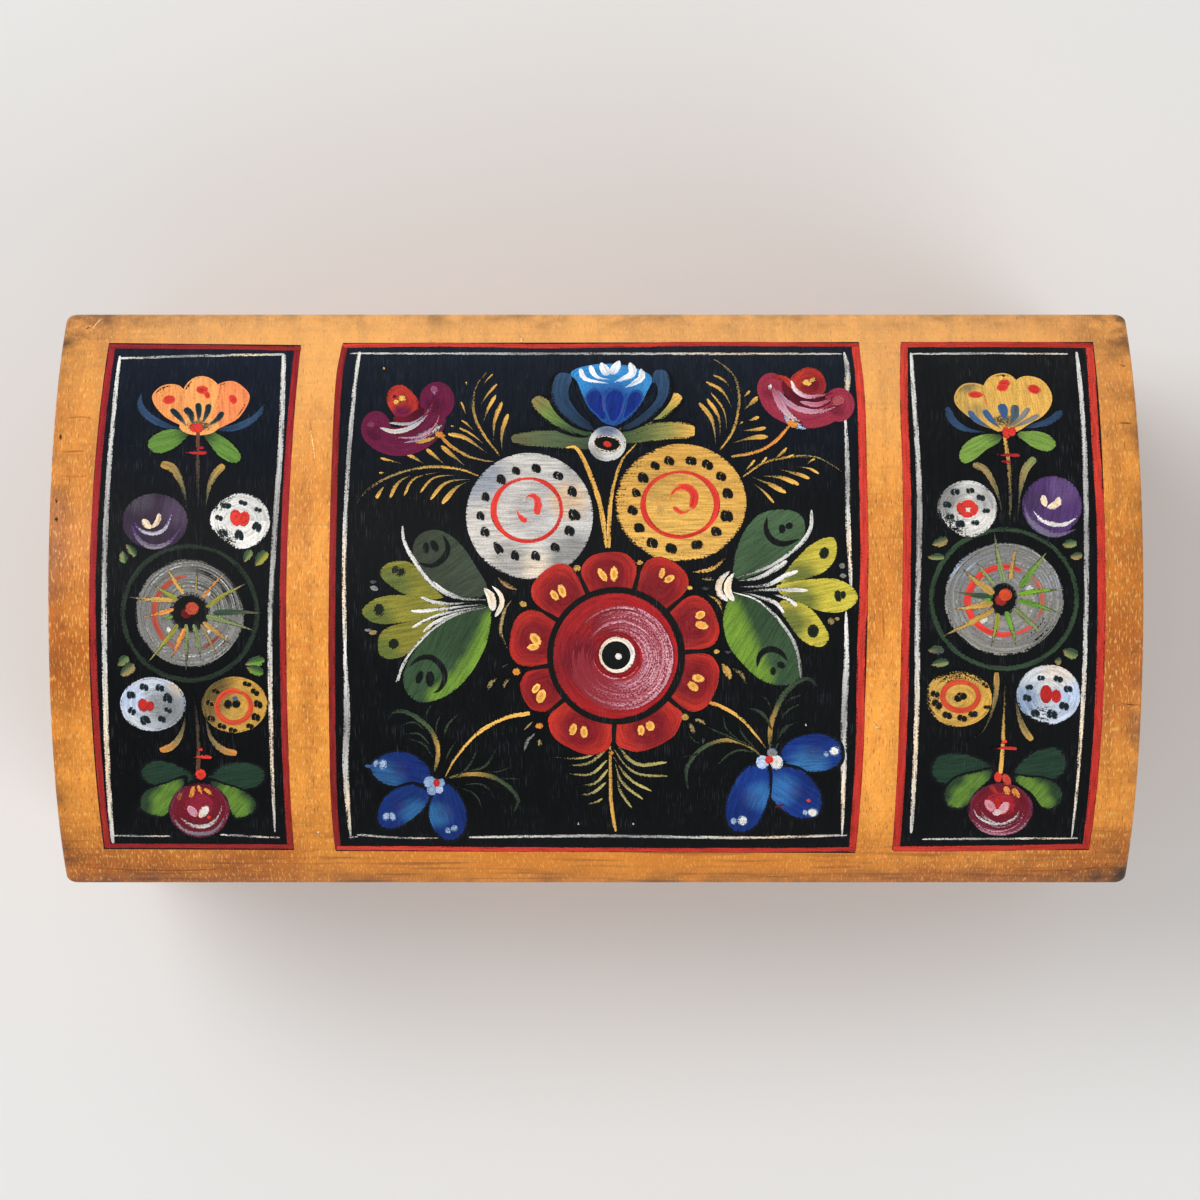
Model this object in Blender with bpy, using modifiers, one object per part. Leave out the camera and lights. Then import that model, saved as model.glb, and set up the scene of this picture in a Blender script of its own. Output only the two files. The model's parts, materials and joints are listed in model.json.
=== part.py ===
"""A small rosemaled chest with a bent lid, modelled piece by piece.

The case is four dovetailed boards on a nailed bottom, with a mitred plinth round its foot.
The lid is a dovetailed frame with two arched ends, under one thin board bent over them.
Two butt hinges carry it at the back, and a swinging hook holds it shut at the front.
The origin is under the middle of the case: X runs along it, the front faces -Y, and Z is up.
"""

import itertools
import math

import bmesh
import bpy
from mathutils import Vector

MM = 0.001

# Fits
GAP = 0.3 * MM  # between pieces that touch
PARTING_GAP = 0.4 * MM  # between the case and the closed lid
OVERRUN = 2 * MM  # how far a cutter runs past what it cuts
MERGE = 0.005 * MM  # points closer than this are one
TURN_STEPS = 20

# The bent lid board
LID_LENGTH = 300 * MM
LID_DEPTH = 162 * MM  # straight across, from the front edge to the back one
LID_RISE = 40.5 * MM
LID_THICKNESS = 4 * MM
LID_CORNER = 3.2 * MM  # the round of its four corners, seen from above
LID_EDGE_ROUND = 1.1 * MM
ARC_STEPS = 44
CORNER_STEPS = 4
CORNER_ROOM_SHARE = 1.2  # of the corner's round, the stretch that is left straight for it

# The case and the lid frame
END_OVERHANG = 4 * MM  # how far the lid board passes the ends
EAVE = 7 * MM  # how far it passes the front and the back
WALL = 8 * MM
WALL_HEIGHT = 93 * MM
RAIL_HEIGHT = 20 * MM  # the outer face of the lid's front and back rails
CASE_TAILS = 4
LID_TAILS = 1
PIN_WIDE = 8 * MM  # a dovetail pin where it leaves its board
PIN_NARROW = 4.4 * MM  # and at its end

# The bottom and the plinth
BOTTOM = 6 * MM
BOTTOM_RECESS = 3 * MM  # the bottom's height above the table
PLINTH = 4 * MM
PLINTH_HEIGHT = 20 * MM
PLINTH_LIP = 1.2 * MM  # the flat left on top of its moulding
PLINTH_COVE = 5 * MM  # the height of its moulding
COVE_STEPS = 6

# Nails in the bottom
NAIL_SHANK = 0.8 * MM
NAIL_HEAD = 1.7 * MM
NAIL_HEAD_THICKNESS = 0.7 * MM
NAIL_LENGTH = 18 * MM
NAIL_SHARES = (-0.4, -0.14, 0.14, 0.4)  # of the case's length, from its middle

# Hinges
HINGE_WIDTH = 26 * MM
HINGE_PLATE = 1.2 * MM
HINGE_LEAF_SHARE = 0.75  # of the rail's height
HINGE_SPREAD_SHARE = 0.27  # of the case's length, from its middle to a hinge's
BARREL = 2.2 * MM
PIN = 1 * MM
PIN_HEAD = 1.6 * MM
PIN_HEAD_THICKNESS = 0.6 * MM
KNUCKLES = 5
HINGE_SCREWS = 3
SCREW_ROW_SHARE = 0.62  # of a leaf's height, from the pin to the screws

# Screws in the hinges
SCREW_HEAD = 2.1 * MM
SCREW_SHANK = 0.95 * MM
SCREW_LENGTH = 6.5 * MM
SCREW_TIP = 1.8 * MM
SLOT_WIDTH = 0.5 * MM
SLOT_DEPTH = 0.45 * MM
SLOT_TURNS = (20, 75, -35, 5, -60, 50)  # degrees, one for each screw of a hinge

# The hook and its two studs
HOOK_DROP = 11 * MM  # the pivot stud, below the parting line
STUD_RISE = 7 * MM  # the catch stud, above it
STUD_NECK = 1.6 * MM
STUD_HEAD = 3.1 * MM
STUD_DOME = 1.4 * MM
STUD_COLLAR = 1 * MM
STUD_SHANK = 1.1 * MM
STUD_LENGTH = 5.5 * MM
HOOK_PLATE = 1.2 * MM
HOOK_EYE = 3.7 * MM
HOOK_SHOULDER = 2.3 * MM  # half its width under the eye
HOOK_NECK = 1.6 * MM  # and above the notch
HOOK_BACK = 2.4 * MM  # the metal behind and below the notch
HOOK_TAB = 1.3 * MM  # the round of its finger tab
NOTCH_PLAY = 0.5 * MM
HOOK_TAB_SHARES = (0.9, 0.98)  # where the tab's middle lies, of the notch's outer round
HOOK_JAW_SHARE = 0.85  # how far the lower jaw reaches, of the same

BRASS_RGB = (0.42, 0.27, 0.09)
STEEL_RGB = (0.16, 0.155, 0.15)
STAIN_RGB = (0.46, 0.19, 0.05)

# Worked out from the sizes above
CASE_LENGTH = LID_LENGTH - 2 * END_OVERHANG
CASE_DEPTH = LID_DEPTH - 2 * EAVE
WALL_FOOT = BOTTOM_RECESS + BOTTOM + GAP
WALL_TOP = WALL_FOOT + WALL_HEIGHT
LID_FOOT = WALL_TOP + PARTING_GAP
PARTING = (WALL_TOP + LID_FOOT) / 2
LID_RADIUS = ((LID_DEPTH / 2) ** 2 + LID_RISE**2) / (2 * LID_RISE)
LID_ANGLE = math.asin(LID_DEPTH / 2 / LID_RADIUS)
FRAME_RADIUS = LID_RADIUS - LID_THICKNESS - GAP
ARC_CENTRE = LID_FOOT + RAIL_HEIGHT - math.sqrt(FRAME_RADIUS**2 - (CASE_DEPTH / 2) ** 2)
LEAF_HEIGHT = RAIL_HEIGHT * HINGE_LEAF_SHARE
HINGE_AXIS_Y = CASE_DEPTH / 2 + GAP + BARREL
PIVOT = Vector((0, -CASE_DEPTH / 2 - GAP, PARTING - HOOK_DROP))
CATCH = Vector((0, -CASE_DEPTH / 2 - GAP, PARTING + STUD_RISE))


def clear_scene():
    for item in list(bpy.data.objects):
        bpy.data.objects.remove(item)
    chest = bpy.data.collections.new("rosemaled_chest")
    cutters = bpy.data.collections.new("cutters")
    for collection in (chest, cutters):
        bpy.context.scene.collection.children.link(collection)
    return chest, cutters


def material(name, colour, roughness, metallic=0.0):
    made = bpy.data.materials.new(name)
    made.use_nodes = True
    shader = made.node_tree.nodes["Principled BSDF"]
    shader.inputs["Base Color"].default_value = (*colour, 1)
    shader.inputs["Roughness"].default_value = roughness
    shader.inputs["Metallic"].default_value = metallic
    made.diffuse_color = (*colour, 1)
    return made


CHEST, CUTTERS = clear_scene()
STAIN = material("stained_wood", STAIN_RGB, 0.45)
BRASS = material("brass", BRASS_RGB, 0.35, 1.0)
STEEL = material("steel", STEEL_RGB, 0.5, 1.0)


def empty(name, place):
    marker = bpy.data.objects.new(name, None)
    marker.location = place
    CHEST.objects.link(marker)
    return marker


CASE_FRAME = empty("case_frame", (0, 0, 0))
LID_FRAME = empty("lid_frame", (0, HINGE_AXIS_Y, PARTING))
HOOK_FRAME = empty("hook_frame", PIVOT)


# Making, placing and cutting


def add_piece(name, mesh, paint, frame, place=(0, 0, 0), turn=(0, 0, 0)):
    """A piece of the chest: place is in the world, and the piece is parented to its frame."""
    piece = bpy.data.objects.new(name, mesh)
    CHEST.objects.link(piece)
    piece.parent = frame
    piece.location = Vector(place) - frame.location
    piece.rotation_euler = turn
    if not mesh.materials:
        mesh.materials.append(paint)
    return piece


def add_cutter(name, mesh, place=(0, 0, 0), turn=(0, 0, 0)):
    cutter = bpy.data.objects.new(name, mesh)
    CUTTERS.objects.link(cutter)
    cutter.location = place
    cutter.rotation_euler = turn
    cutter.hide_render = True
    cutter.display_type = "WIRE"
    return cutter


def cut(piece, *cutters, operation="DIFFERENCE"):
    for cutter in cutters:
        boolean = piece.modifiers.new(cutter.name, "BOOLEAN")
        boolean.object = cutter
        boolean.operation = operation


def box_mesh(length, depth, height):
    """A box centred on the origin."""
    shape = bmesh.new()
    bmesh.ops.create_cube(shape, size=1)
    bmesh.ops.scale(shape, vec=(length, depth, height), verts=shape.verts)
    return mesh_from(shape, "box")


def mesh_from(shape, name):
    mesh = bpy.data.meshes.new(name)
    shape.to_mesh(mesh)
    shape.free()
    return mesh


def evaluated_mesh(piece):
    """The mesh that a piece's curve or modifiers make, with loose caps welded. The piece is removed."""
    bpy.context.view_layer.update()
    graph = bpy.context.evaluated_depsgraph_get()
    mesh = bpy.data.meshes.new_from_object(piece.evaluated_get(graph))
    shape = bmesh.new()
    shape.from_mesh(mesh)
    bmesh.ops.remove_doubles(shape, verts=shape.verts, dist=MERGE)
    shape.to_mesh(mesh)
    shape.free()
    bpy.data.objects.remove(piece)
    return mesh


def slab_mesh(loops, thickness):
    """A flat outline in local XY, holes included, as thick as asked and centred on local Z."""
    curve = bpy.data.curves.new("outline", "CURVE")
    curve.dimensions = "2D"
    curve.fill_mode = "BOTH"
    curve.extrude = thickness / 2
    for loop in loops:
        spline = curve.splines.new("POLY")
        spline.points.add(len(loop) - 1)
        for point, (x, y) in zip(spline.points, loop):
            point.co = (x, y, 0, 1)
        spline.use_cyclic_u = True
    outline = bpy.data.objects.new("outline", curve)
    bpy.context.scene.collection.objects.link(outline)
    mesh = evaluated_mesh(outline)
    mesh.shade_flat()
    return mesh


def turned_mesh(profile, steps=TURN_STEPS):
    """A solid of revolution about Z from (radius, height) points that run from its top to its foot."""
    line = bpy.data.meshes.new("profile")
    points = [(radius, 0, height) for radius, height in profile]
    line.from_pydata(points, [(i, i + 1) for i in range(len(points) - 1)], [])
    body = bpy.data.objects.new("profile", line)
    bpy.context.scene.collection.objects.link(body)
    screw = body.modifiers.new("turn", "SCREW")
    screw.steps = screw.render_steps = steps
    screw.use_merge_vertices = True
    screw.merge_threshold = MERGE
    mesh = evaluated_mesh(body)
    mesh.shade_smooth()
    mesh.set_sharp_from_angle(angle=math.radians(35))
    return mesh


def arc(radius, start, end, steps, centre=(0, 0)):
    """Points on a circle, from one angle to another in radians."""
    angles = [start + (end - start) * i / steps for i in range(steps + 1)]
    return [(centre[0] + radius * math.cos(a), centre[1] + radius * math.sin(a)) for a in angles]


STANDS_FACING_FRONT = (math.pi / 2, 0, 0)  # local XY becomes XZ
STANDS_FACING_END = (math.pi / 2, 0, math.pi / 2)  # local XY becomes YZ
POINTS_TO_FRONT = (math.pi / 2, 0, 0)  # local Z becomes -Y
POINTS_TO_BACK = (-math.pi / 2, 0, 0)  # local Z becomes +Y


# Dovetails


def pin_heights(height, tails):
    """The middle of every pin. The lowest and the highest one are half pins at the board's edges."""
    return [height * i / tails for i in range(tails + 1)]


def tail_board_loop(length, height, rise, tails):
    """A board with tails at both ends. It may rise above the stretch that holds the tails."""
    tip = length / 2
    root = tip - WALL - GAP
    side = [(root, 0)]
    heights = pin_heights(height, tails)
    for low, high in zip(heights, heights[1:]):
        side.append((root, low + PIN_WIDE / 2 + GAP))
        side.append((tip, low + PIN_NARROW / 2 + GAP))
        side.append((tip, high - PIN_NARROW / 2 - GAP))
        side.append((root, high - PIN_WIDE / 2 - GAP))
    side.append((root, rise))
    return side + [(-x, z) for x, z in reversed(side)]


def socket_loops(height, tails, side):
    """What an end board loses so that the tails fit between its pins, at the end that side names."""
    slope = (PIN_WIDE - PIN_NARROW) / 2 / WALL
    outer = CASE_LENGTH / 2 + OVERRUN
    inner = CASE_LENGTH / 2 - WALL - OVERRUN
    outer_half = PIN_NARROW / 2 - slope * OVERRUN
    inner_half = PIN_WIDE / 2 + slope * OVERRUN
    heights = pin_heights(height, tails)
    return [
        [
            (side * inner, low + inner_half),
            (side * outer, low + outer_half),
            (side * outer, high - outer_half),
            (side * inner, high - inner_half),
        ]
        for low, high in zip(heights, heights[1:])
    ]


def socket_cutters(name, side, foot, height, tails):
    """One cutter for the front corner of an end board, and one for its back corner."""
    depth = WALL + GAP + OVERRUN
    middle = CASE_DEPTH / 2 + OVERRUN - depth / 2
    mesh = slab_mesh(socket_loops(height, tails, side), depth)
    return [
        add_cutter(f"{name}_{corner}_sockets", mesh, (0, y, foot), STANDS_FACING_FRONT)
        for corner, y in (("front", -middle), ("back", middle))
    ]


# The case


def make_case_wall(name, y, screw_holes):
    loop = tail_board_loop(CASE_LENGTH, WALL_HEIGHT, WALL_HEIGHT, CASE_TAILS)
    board = add_piece(name, slab_mesh([loop], WALL), STAIN, CASE_FRAME, (0, y, WALL_FOOT), STANDS_FACING_FRONT)
    cut(board, *screw_holes)
    return board


def make_case_end(name, side):
    x = side * (CASE_LENGTH - WALL) / 2
    z = WALL_FOOT + WALL_HEIGHT / 2
    board = add_piece(name, box_mesh(WALL, CASE_DEPTH, WALL_HEIGHT), STAIN, CASE_FRAME, (x, 0, z))
    cut(board, *socket_cutters(name, side, WALL_FOOT, WALL_HEIGHT, CASE_TAILS))
    return board


def nail_profile(room):
    """A flat-headed nail, point up, or the hole for it when room is added all round."""
    neck = NAIL_HEAD_THICKNESS + room
    return [
        (0, NAIL_LENGTH + room),
        (NAIL_SHANK + room, NAIL_LENGTH - NAIL_SHANK + room),
        (NAIL_SHANK + room, neck),
        (NAIL_HEAD + room, neck),
        (NAIL_HEAD + room, -OVERRUN if room else 0),
        (0, -OVERRUN if room else 0),
    ]


def nail_places():
    """Under the middle of the front and back boards."""
    y = (CASE_DEPTH - WALL) / 2
    return [(share * CASE_LENGTH, side * y, BOTTOM_RECESS) for side in (-1, 1) for share in NAIL_SHARES]


def make_nails():
    nail = turned_mesh(nail_profile(0), TURN_STEPS // 2)
    hole = turned_mesh(nail_profile(GAP), TURN_STEPS // 2)
    holes = []
    for number, place in enumerate(nail_places(), 1):
        add_piece(f"bottom_nail_{number}", nail, STEEL, CASE_FRAME, place)
        holes.append(add_cutter(f"bottom_nail_{number}_hole", hole, place))
    return holes


def make_bottom(nail_holes):
    place = (0, 0, BOTTOM_RECESS + BOTTOM / 2)
    board = add_piece("bottom_board", box_mesh(CASE_LENGTH, CASE_DEPTH, BOTTOM), STAIN, CASE_FRAME, place)
    cut(board, *nail_holes)
    return board


def plinth_loop():
    """Across a plinth strip, from the case outwards: flat, with a hollow moulding along its top."""
    width = PLINTH - PLINTH_LIP
    hollow = [
        (PLINTH + width * x, PLINTH_HEIGHT + PLINTH_COVE * z)
        for x, z in arc(1, -math.pi / 2, -math.pi, COVE_STEPS)
    ]
    return [(0, 0), (PLINTH, 0), *hollow, (0, PLINTH_HEIGHT)]


def make_plinth_strip(name, run, offset, turn):
    """A strip along local X, mitred at both ends, that stands against the case on its -Y side."""
    length = run + 2 * (PLINTH + GAP)
    mesh = slab_mesh([plinth_loop()], length)
    shape = bmesh.new()
    shape.from_mesh(mesh)
    # The outline is drawn outwards and up, and stands here as -Y and Z, with its length along X.
    for vert in shape.verts:
        out, up, along = vert.co
        vert.co = (along, -offset - out, up)
    bmesh.ops.recalc_face_normals(shape, faces=shape.faces)
    for side in (-1, 1):
        corner = Vector((side * (run / 2 - GAP), -offset, 0))
        geometry = shape.verts[:] + shape.edges[:] + shape.faces[:]
        outwards = Vector((side, 1, 0))
        found = bmesh.ops.bisect_plane(
            shape, geom=geometry, dist=MERGE, plane_co=corner, plane_no=outwards, clear_outer=True
        )
        rim = [item for item in found["geom_cut"] if isinstance(item, bmesh.types.BMEdge)]
        bmesh.ops.holes_fill(shape, edges=rim)
    shape.to_mesh(mesh)
    shape.free()
    return add_piece(name, mesh, STAIN, CASE_FRAME, (0, 0, 0), (0, 0, turn))


def make_plinth():
    long_run = CASE_LENGTH + 2 * GAP
    short_run = CASE_DEPTH + 2 * GAP
    make_plinth_strip("plinth_front", long_run, short_run / 2, 0)
    make_plinth_strip("plinth_right", short_run, long_run / 2, math.pi / 2)
    make_plinth_strip("plinth_back", long_run, short_run / 2, math.pi)
    make_plinth_strip("plinth_left", short_run, long_run / 2, -math.pi / 2)


# The lid


def under_lid_loop(half_depth):
    """Across the lid frame, in Y and height above its foot: straight sides under the bent board."""
    end = math.asin(half_depth / FRAME_RADIUS)
    top = arc(FRAME_RADIUS, math.pi / 2 - end, math.pi / 2 + end, ARC_STEPS, (0, ARC_CENTRE - LID_FOOT))
    return [(-half_depth, 0), (half_depth, 0), *top]


def make_lid_end(name, side):
    loop = under_lid_loop(CASE_DEPTH / 2)
    x = side * (CASE_LENGTH - WALL) / 2
    board = add_piece(name, slab_mesh([loop], WALL), STAIN, LID_FRAME, (x, 0, LID_FOOT), STANDS_FACING_END)
    cut(board, *socket_cutters(name, side, LID_FOOT, RAIL_HEIGHT, LID_TAILS))
    return board


def make_lid_rail(name, y, under_lid, screw_holes):
    """A rail whose top is planed to the underside of the bent board."""
    inner = CASE_DEPTH / 2 - WALL
    rise = math.sqrt(FRAME_RADIUS**2 - inner**2) + ARC_CENTRE - LID_FOOT + OVERRUN
    loop = tail_board_loop(CASE_LENGTH, RAIL_HEIGHT, rise, LID_TAILS)
    rail = add_piece(name, slab_mesh([loop], WALL), STAIN, LID_FRAME, (0, y, LID_FOOT), STANDS_FACING_FRONT)
    cut(rail, under_lid, operation="INTERSECT")
    cut(rail, *screw_holes)
    return rail


def make_lid_board():
    """A flat sheet with round corners, bent to its arc and given its thickness inwards."""
    shape = bmesh.new()
    bmesh.ops.create_grid(shape, x_segments=1, y_segments=ARC_STEPS, size=1)
    span = LID_RADIUS * LID_ANGLE
    inner_span = span - CORNER_ROOM_SHARE * LID_CORNER
    corners = [vert for vert in shape.verts if abs(vert.co.y) > 1 - 1 / ARC_STEPS]
    for vert in shape.verts:
        across = vert.co.y * inner_span * ARC_STEPS / (ARC_STEPS - 2)
        vert.co = (vert.co.x * LID_LENGTH / 2, max(-span, min(span, across)), 0)
    for vert in corners:
        vert.co.y = math.copysign(span, vert.co.y)
    bmesh.ops.bevel(
        shape, geom=corners, offset=LID_CORNER, segments=CORNER_STEPS, profile=0.5, affect="VERTICES"
    )
    for vert in shape.verts:
        angle = vert.co.y / LID_RADIUS
        vert.co = (vert.co.x, LID_RADIUS * math.sin(angle), LID_RADIUS * math.cos(angle))
    board = add_piece("lid_top_board", mesh_from(shape, "lid_top_board"), STAIN, LID_FRAME, (0, 0, ARC_CENTRE))
    wall = board.modifiers.new("thickness", "SOLIDIFY")
    wall.thickness = LID_THICKNESS
    wall.offset = -1
    rounding = board.modifiers.new("edges", "BEVEL")
    rounding.width = LID_EDGE_ROUND
    rounding.segments = 3
    rounding.limit_method = "ANGLE"
    rounding.angle_limit = math.radians(50)
    board.data.shade_smooth()
    return board


# Hinges


def barrel_spans(first):
    """Where the knuckles of one leaf lie along the pin, as (middle, width), every other one from first."""
    width = HINGE_WIDTH / KNUCKLES
    return [(-HINGE_WIDTH / 2 + (i + 0.5) * width, width) for i in range(first, KNUCKLES, 2)]


def leaf_loops():
    """Across a leaf that hangs from its pin, wood on the -Y side: a plate rolled into a barrel."""
    plate_out = -BARREL + HINGE_PLATE
    meet = math.acos(plate_out / BARREL)
    barrel = arc(BARREL, math.pi, -meet, TURN_STEPS)
    bore = arc(PIN + GAP, 0, 2 * math.pi * (1 - 1 / TURN_STEPS), TURN_STEPS - 1)
    return [[*barrel, (plate_out, -LEAF_HEIGHT), (-BARREL, -LEAF_HEIGHT)], bore]


def screw_profile(room):
    """A countersunk screw, head up, or the hole for it when room is added all round."""
    flush = OVERRUN if room else 0
    return [
        (0, flush),
        (SCREW_HEAD + room + flush, flush),
        (SCREW_SHANK + room, -(SCREW_HEAD - SCREW_SHANK)),
        (SCREW_SHANK + room, -(SCREW_LENGTH - SCREW_TIP) - room),
        (0, -SCREW_LENGTH - room),
    ]


def slotted_screw_mesh():
    screw = bpy.data.objects.new("screw", turned_mesh(screw_profile(0), TURN_STEPS * 3 // 5))
    CHEST.objects.link(screw)
    slot = add_cutter("slot", box_mesh(4 * SCREW_HEAD, SLOT_WIDTH, 2 * SLOT_DEPTH))
    cut(screw, slot)
    mesh = evaluated_mesh(screw)
    bpy.data.objects.remove(slot)
    return mesh


def hinge_screw_places(middle, height):
    """The outer face of a leaf, at each of its screws."""
    face = HINGE_AXIS_Y - BARREL + HINGE_PLATE
    pitch = HINGE_WIDTH / HINGE_SCREWS
    return [(middle + (i - (HINGE_SCREWS - 1) / 2) * pitch, face, height) for i in range(HINGE_SCREWS)]


def make_hinge_screws(name, frame, middle, height, screw, hole, slot_turns):
    holes = []
    for number, place in enumerate(hinge_screw_places(middle, height), 1):
        turn = (POINTS_TO_BACK[0], math.radians(next(slot_turns)), 0)
        add_piece(f"{name}_{number}", screw, BRASS, frame, place, turn)
        holes.append(add_cutter(f"{name}_{number}_hole", hole, place, POINTS_TO_BACK))
    return holes


def make_leaf(name, frame, middle, upright, screw_holes):
    """One leaf. The lid's stands upright, and has the knuckles that the case's hanging one lacks."""
    own_first = 1 if upright else 0
    loops = leaf_loops()
    if upright:
        loops = [[(y, -z) for y, z in loop] for loop in loops]
    place = (middle, HINGE_AXIS_Y, PARTING)
    leaf = add_piece(name, slab_mesh(loops, HINGE_WIDTH), BRASS, frame, place, STANDS_FACING_END)
    toward_plate = 1 if upright else -1
    reach = BARREL + GAP
    room = reach + BARREL + OVERRUN
    for number, (along, width) in enumerate(barrel_spans(1 - own_first), 1):
        mesh = box_mesh(width + GAP, 2 * (BARREL + OVERRUN), room)
        offset = toward_plate * (reach - room / 2)
        spot = (middle + along, HINGE_AXIS_Y, PARTING + offset)
        cut(leaf, add_cutter(f"{name}_knuckle_gap_{number}", mesh, spot))
    cut(leaf, *screw_holes)
    return leaf


def make_hinge_pin(name, middle):
    half = HINGE_WIDTH / 2 + GAP
    profile = [
        (0, half + PIN_HEAD_THICKNESS),
        (PIN_HEAD, half + PIN_HEAD_THICKNESS / 2),
        (PIN_HEAD, half),
        (PIN, half),
        (PIN, -half),
        (PIN_HEAD, -half),
        (PIN_HEAD, -half - PIN_HEAD_THICKNESS / 2),
        (0, -half - PIN_HEAD_THICKNESS),
    ]
    place = (middle, HINGE_AXIS_Y, PARTING)
    add_piece(name, turned_mesh(profile), BRASS, CASE_FRAME, place, (0, math.pi / 2, 0))


def make_hinges():
    """Returns the screw holes of the case's back board and of the lid's back rail."""
    screw = slotted_screw_mesh()
    hole = turned_mesh(screw_profile(GAP))
    slot_turns = itertools.cycle(SLOT_TURNS)
    row = LEAF_HEIGHT * SCREW_ROW_SHARE
    back_holes = []
    rail_holes = []
    for side_name, side in (("left", -1), ("right", 1)):
        middle = side * HINGE_SPREAD_SHARE * CASE_LENGTH
        name = f"hinge_{side_name}"
        low = make_hinge_screws(
            f"{name}_case_screw", CASE_FRAME, middle, PARTING - row, screw, hole, slot_turns
        )
        high = make_hinge_screws(
            f"{name}_lid_screw", LID_FRAME, middle, PARTING + row, screw, hole, slot_turns
        )
        make_leaf(f"{name}_case_leaf", CASE_FRAME, middle, False, low)
        make_leaf(f"{name}_lid_leaf", LID_FRAME, middle, True, high)
        make_hinge_pin(f"{name}_pin", middle)
        back_holes += low
        rail_holes += high
    return back_holes, rail_holes


# The hook and its studs


def stud_profile():
    """A shouldered stud, head up: the hook swings on the neck between its collar and its head."""
    head_foot = STUD_COLLAR + HOOK_PLATE + 2 * GAP
    dome = [(STUD_HEAD * x, head_foot + STUD_DOME * z) for x, z in arc(1, math.pi / 2, 0, 5)]
    return [
        *dome,
        (STUD_NECK, head_foot),
        (STUD_NECK, STUD_COLLAR),
        (STUD_HEAD, STUD_COLLAR),
        (STUD_HEAD, 0),
        (STUD_SHANK, 0),
        (STUD_SHANK, STUD_SHANK - STUD_LENGTH),
        (0, -STUD_LENGTH),
    ]


def make_studs():
    """Returns the holes for the studs in the front board and in the lid's front rail."""
    stud = turned_mesh(stud_profile())
    depth = STUD_LENGTH + OVERRUN
    hole = turned_mesh([(0, OVERRUN), (STUD_SHANK + GAP, OVERRUN), (STUD_SHANK + GAP, -depth), (0, -depth)])
    add_piece("hook_pivot_stud", stud, BRASS, CASE_FRAME, PIVOT, POINTS_TO_FRONT)
    add_piece("hook_catch_stud", stud, BRASS, LID_FRAME, CATCH, POINTS_TO_FRONT)
    pivot_hole = add_cutter("hook_pivot_hole", hole, PIVOT, POINTS_TO_FRONT)
    catch_hole = add_cutter("hook_catch_hole", hole, CATCH, POINTS_TO_FRONT)
    return pivot_hole, catch_hole


def swung(radius, reach):
    """A point at a radius from the pivot, reached by swinging to -X from straight below it."""
    return -reach, -math.sqrt(radius**2 - reach**2)


def hook_loops():
    """The hook as it hangs from its eye at the origin. The notch opens to -X, the way that it swings."""
    drop = HOOK_DROP + STUD_RISE
    notch = STUD_NECK + NOTCH_PLAY
    outer = notch + HOOK_BACK
    start = math.asin(HOOK_SHOULDER / HOOK_EYE)
    eye = arc(HOOK_EYE, start - math.pi / 2, 3 * math.pi / 2 - start, TURN_STEPS)
    # The notch's sides follow the swing, so that the stud slides between them.
    notch_end = arc(notch, math.pi / 2, -math.pi / 2, TURN_STEPS // 3, (0, -drop))
    jaw = arc(outer, -math.radians(150), -math.radians(80), TURN_STEPS // 3, (0, -drop))
    tab_middle = (HOOK_TAB_SHARES[0] * outer, -drop - HOOK_TAB_SHARES[1] * outer)
    tab = arc(HOOK_TAB, -math.radians(150), math.radians(60), TURN_STEPS // 3, tab_middle)
    back = arc(outer, -math.radians(40), math.radians(70), TURN_STEPS // 3, (0, -drop))
    outline = [
        *eye,
        (-HOOK_NECK, -drop + outer),
        swung(drop - notch, HOOK_SHOULDER),
        *notch_end,
        swung(drop + notch, HOOK_JAW_SHARE * outer),
        *jaw,
        *tab,
        *back,
    ]
    bore = arc(STUD_NECK + GAP, 0, 2 * math.pi * (1 - 1 / TURN_STEPS), TURN_STEPS - 1)
    return [outline, bore]


def make_hook():
    middle = PIVOT.y - STUD_COLLAR - GAP - HOOK_PLATE / 2
    mesh = slab_mesh(hook_loops(), HOOK_PLATE)
    return add_piece("hook", mesh, BRASS, HOOK_FRAME, (0, middle, PIVOT.z), STANDS_FACING_FRONT)


def make_chest():
    nail_holes = make_nails()
    back_holes, rail_holes = make_hinges()
    pivot_hole, catch_hole = make_studs()
    wall_y = (CASE_DEPTH - WALL) / 2
    make_case_wall("front_board", -wall_y, [pivot_hole, *nail_holes[: len(NAIL_SHARES)]])
    make_case_wall("back_board", wall_y, [*back_holes, *nail_holes[len(NAIL_SHARES) :]])
    make_case_end("left_end_board", -1)
    make_case_end("right_end_board", 1)
    make_bottom(nail_holes)
    make_plinth()
    under = slab_mesh([under_lid_loop(CASE_DEPTH / 2 + EAVE / 2)], CASE_LENGTH + 2 * OVERRUN)
    under_lid = add_cutter("under_lid", under, (0, 0, LID_FOOT), STANDS_FACING_END)
    make_lid_end("lid_left_end", -1)
    make_lid_end("lid_right_end", 1)
    make_lid_rail("lid_front_rail", -wall_y, under_lid, [catch_hole])
    make_lid_rail("lid_back_rail", wall_y, under_lid, rail_holes)
    make_lid_board()
    make_hook()


make_chest()
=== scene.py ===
# %% [markdown]
# # A small rosemaled chest
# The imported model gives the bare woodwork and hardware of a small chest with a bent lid. This lesson
# gives it its looks: stained and varnished wood, dull brass, and above all the brush painting on the
# lid. Every brush stroke is a low ridge of paint with its own shape, so the flowers are made here in
# the order in which a painter lays them down: ground, borders, petals, highlights and dots.

# %% Load the frame
import json
import math
import random

from bisect import bisect

import bmesh
import bpy
from mathutils import Matrix, Vector, noise
from mathutils.geometry import interpolate_bezier


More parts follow.
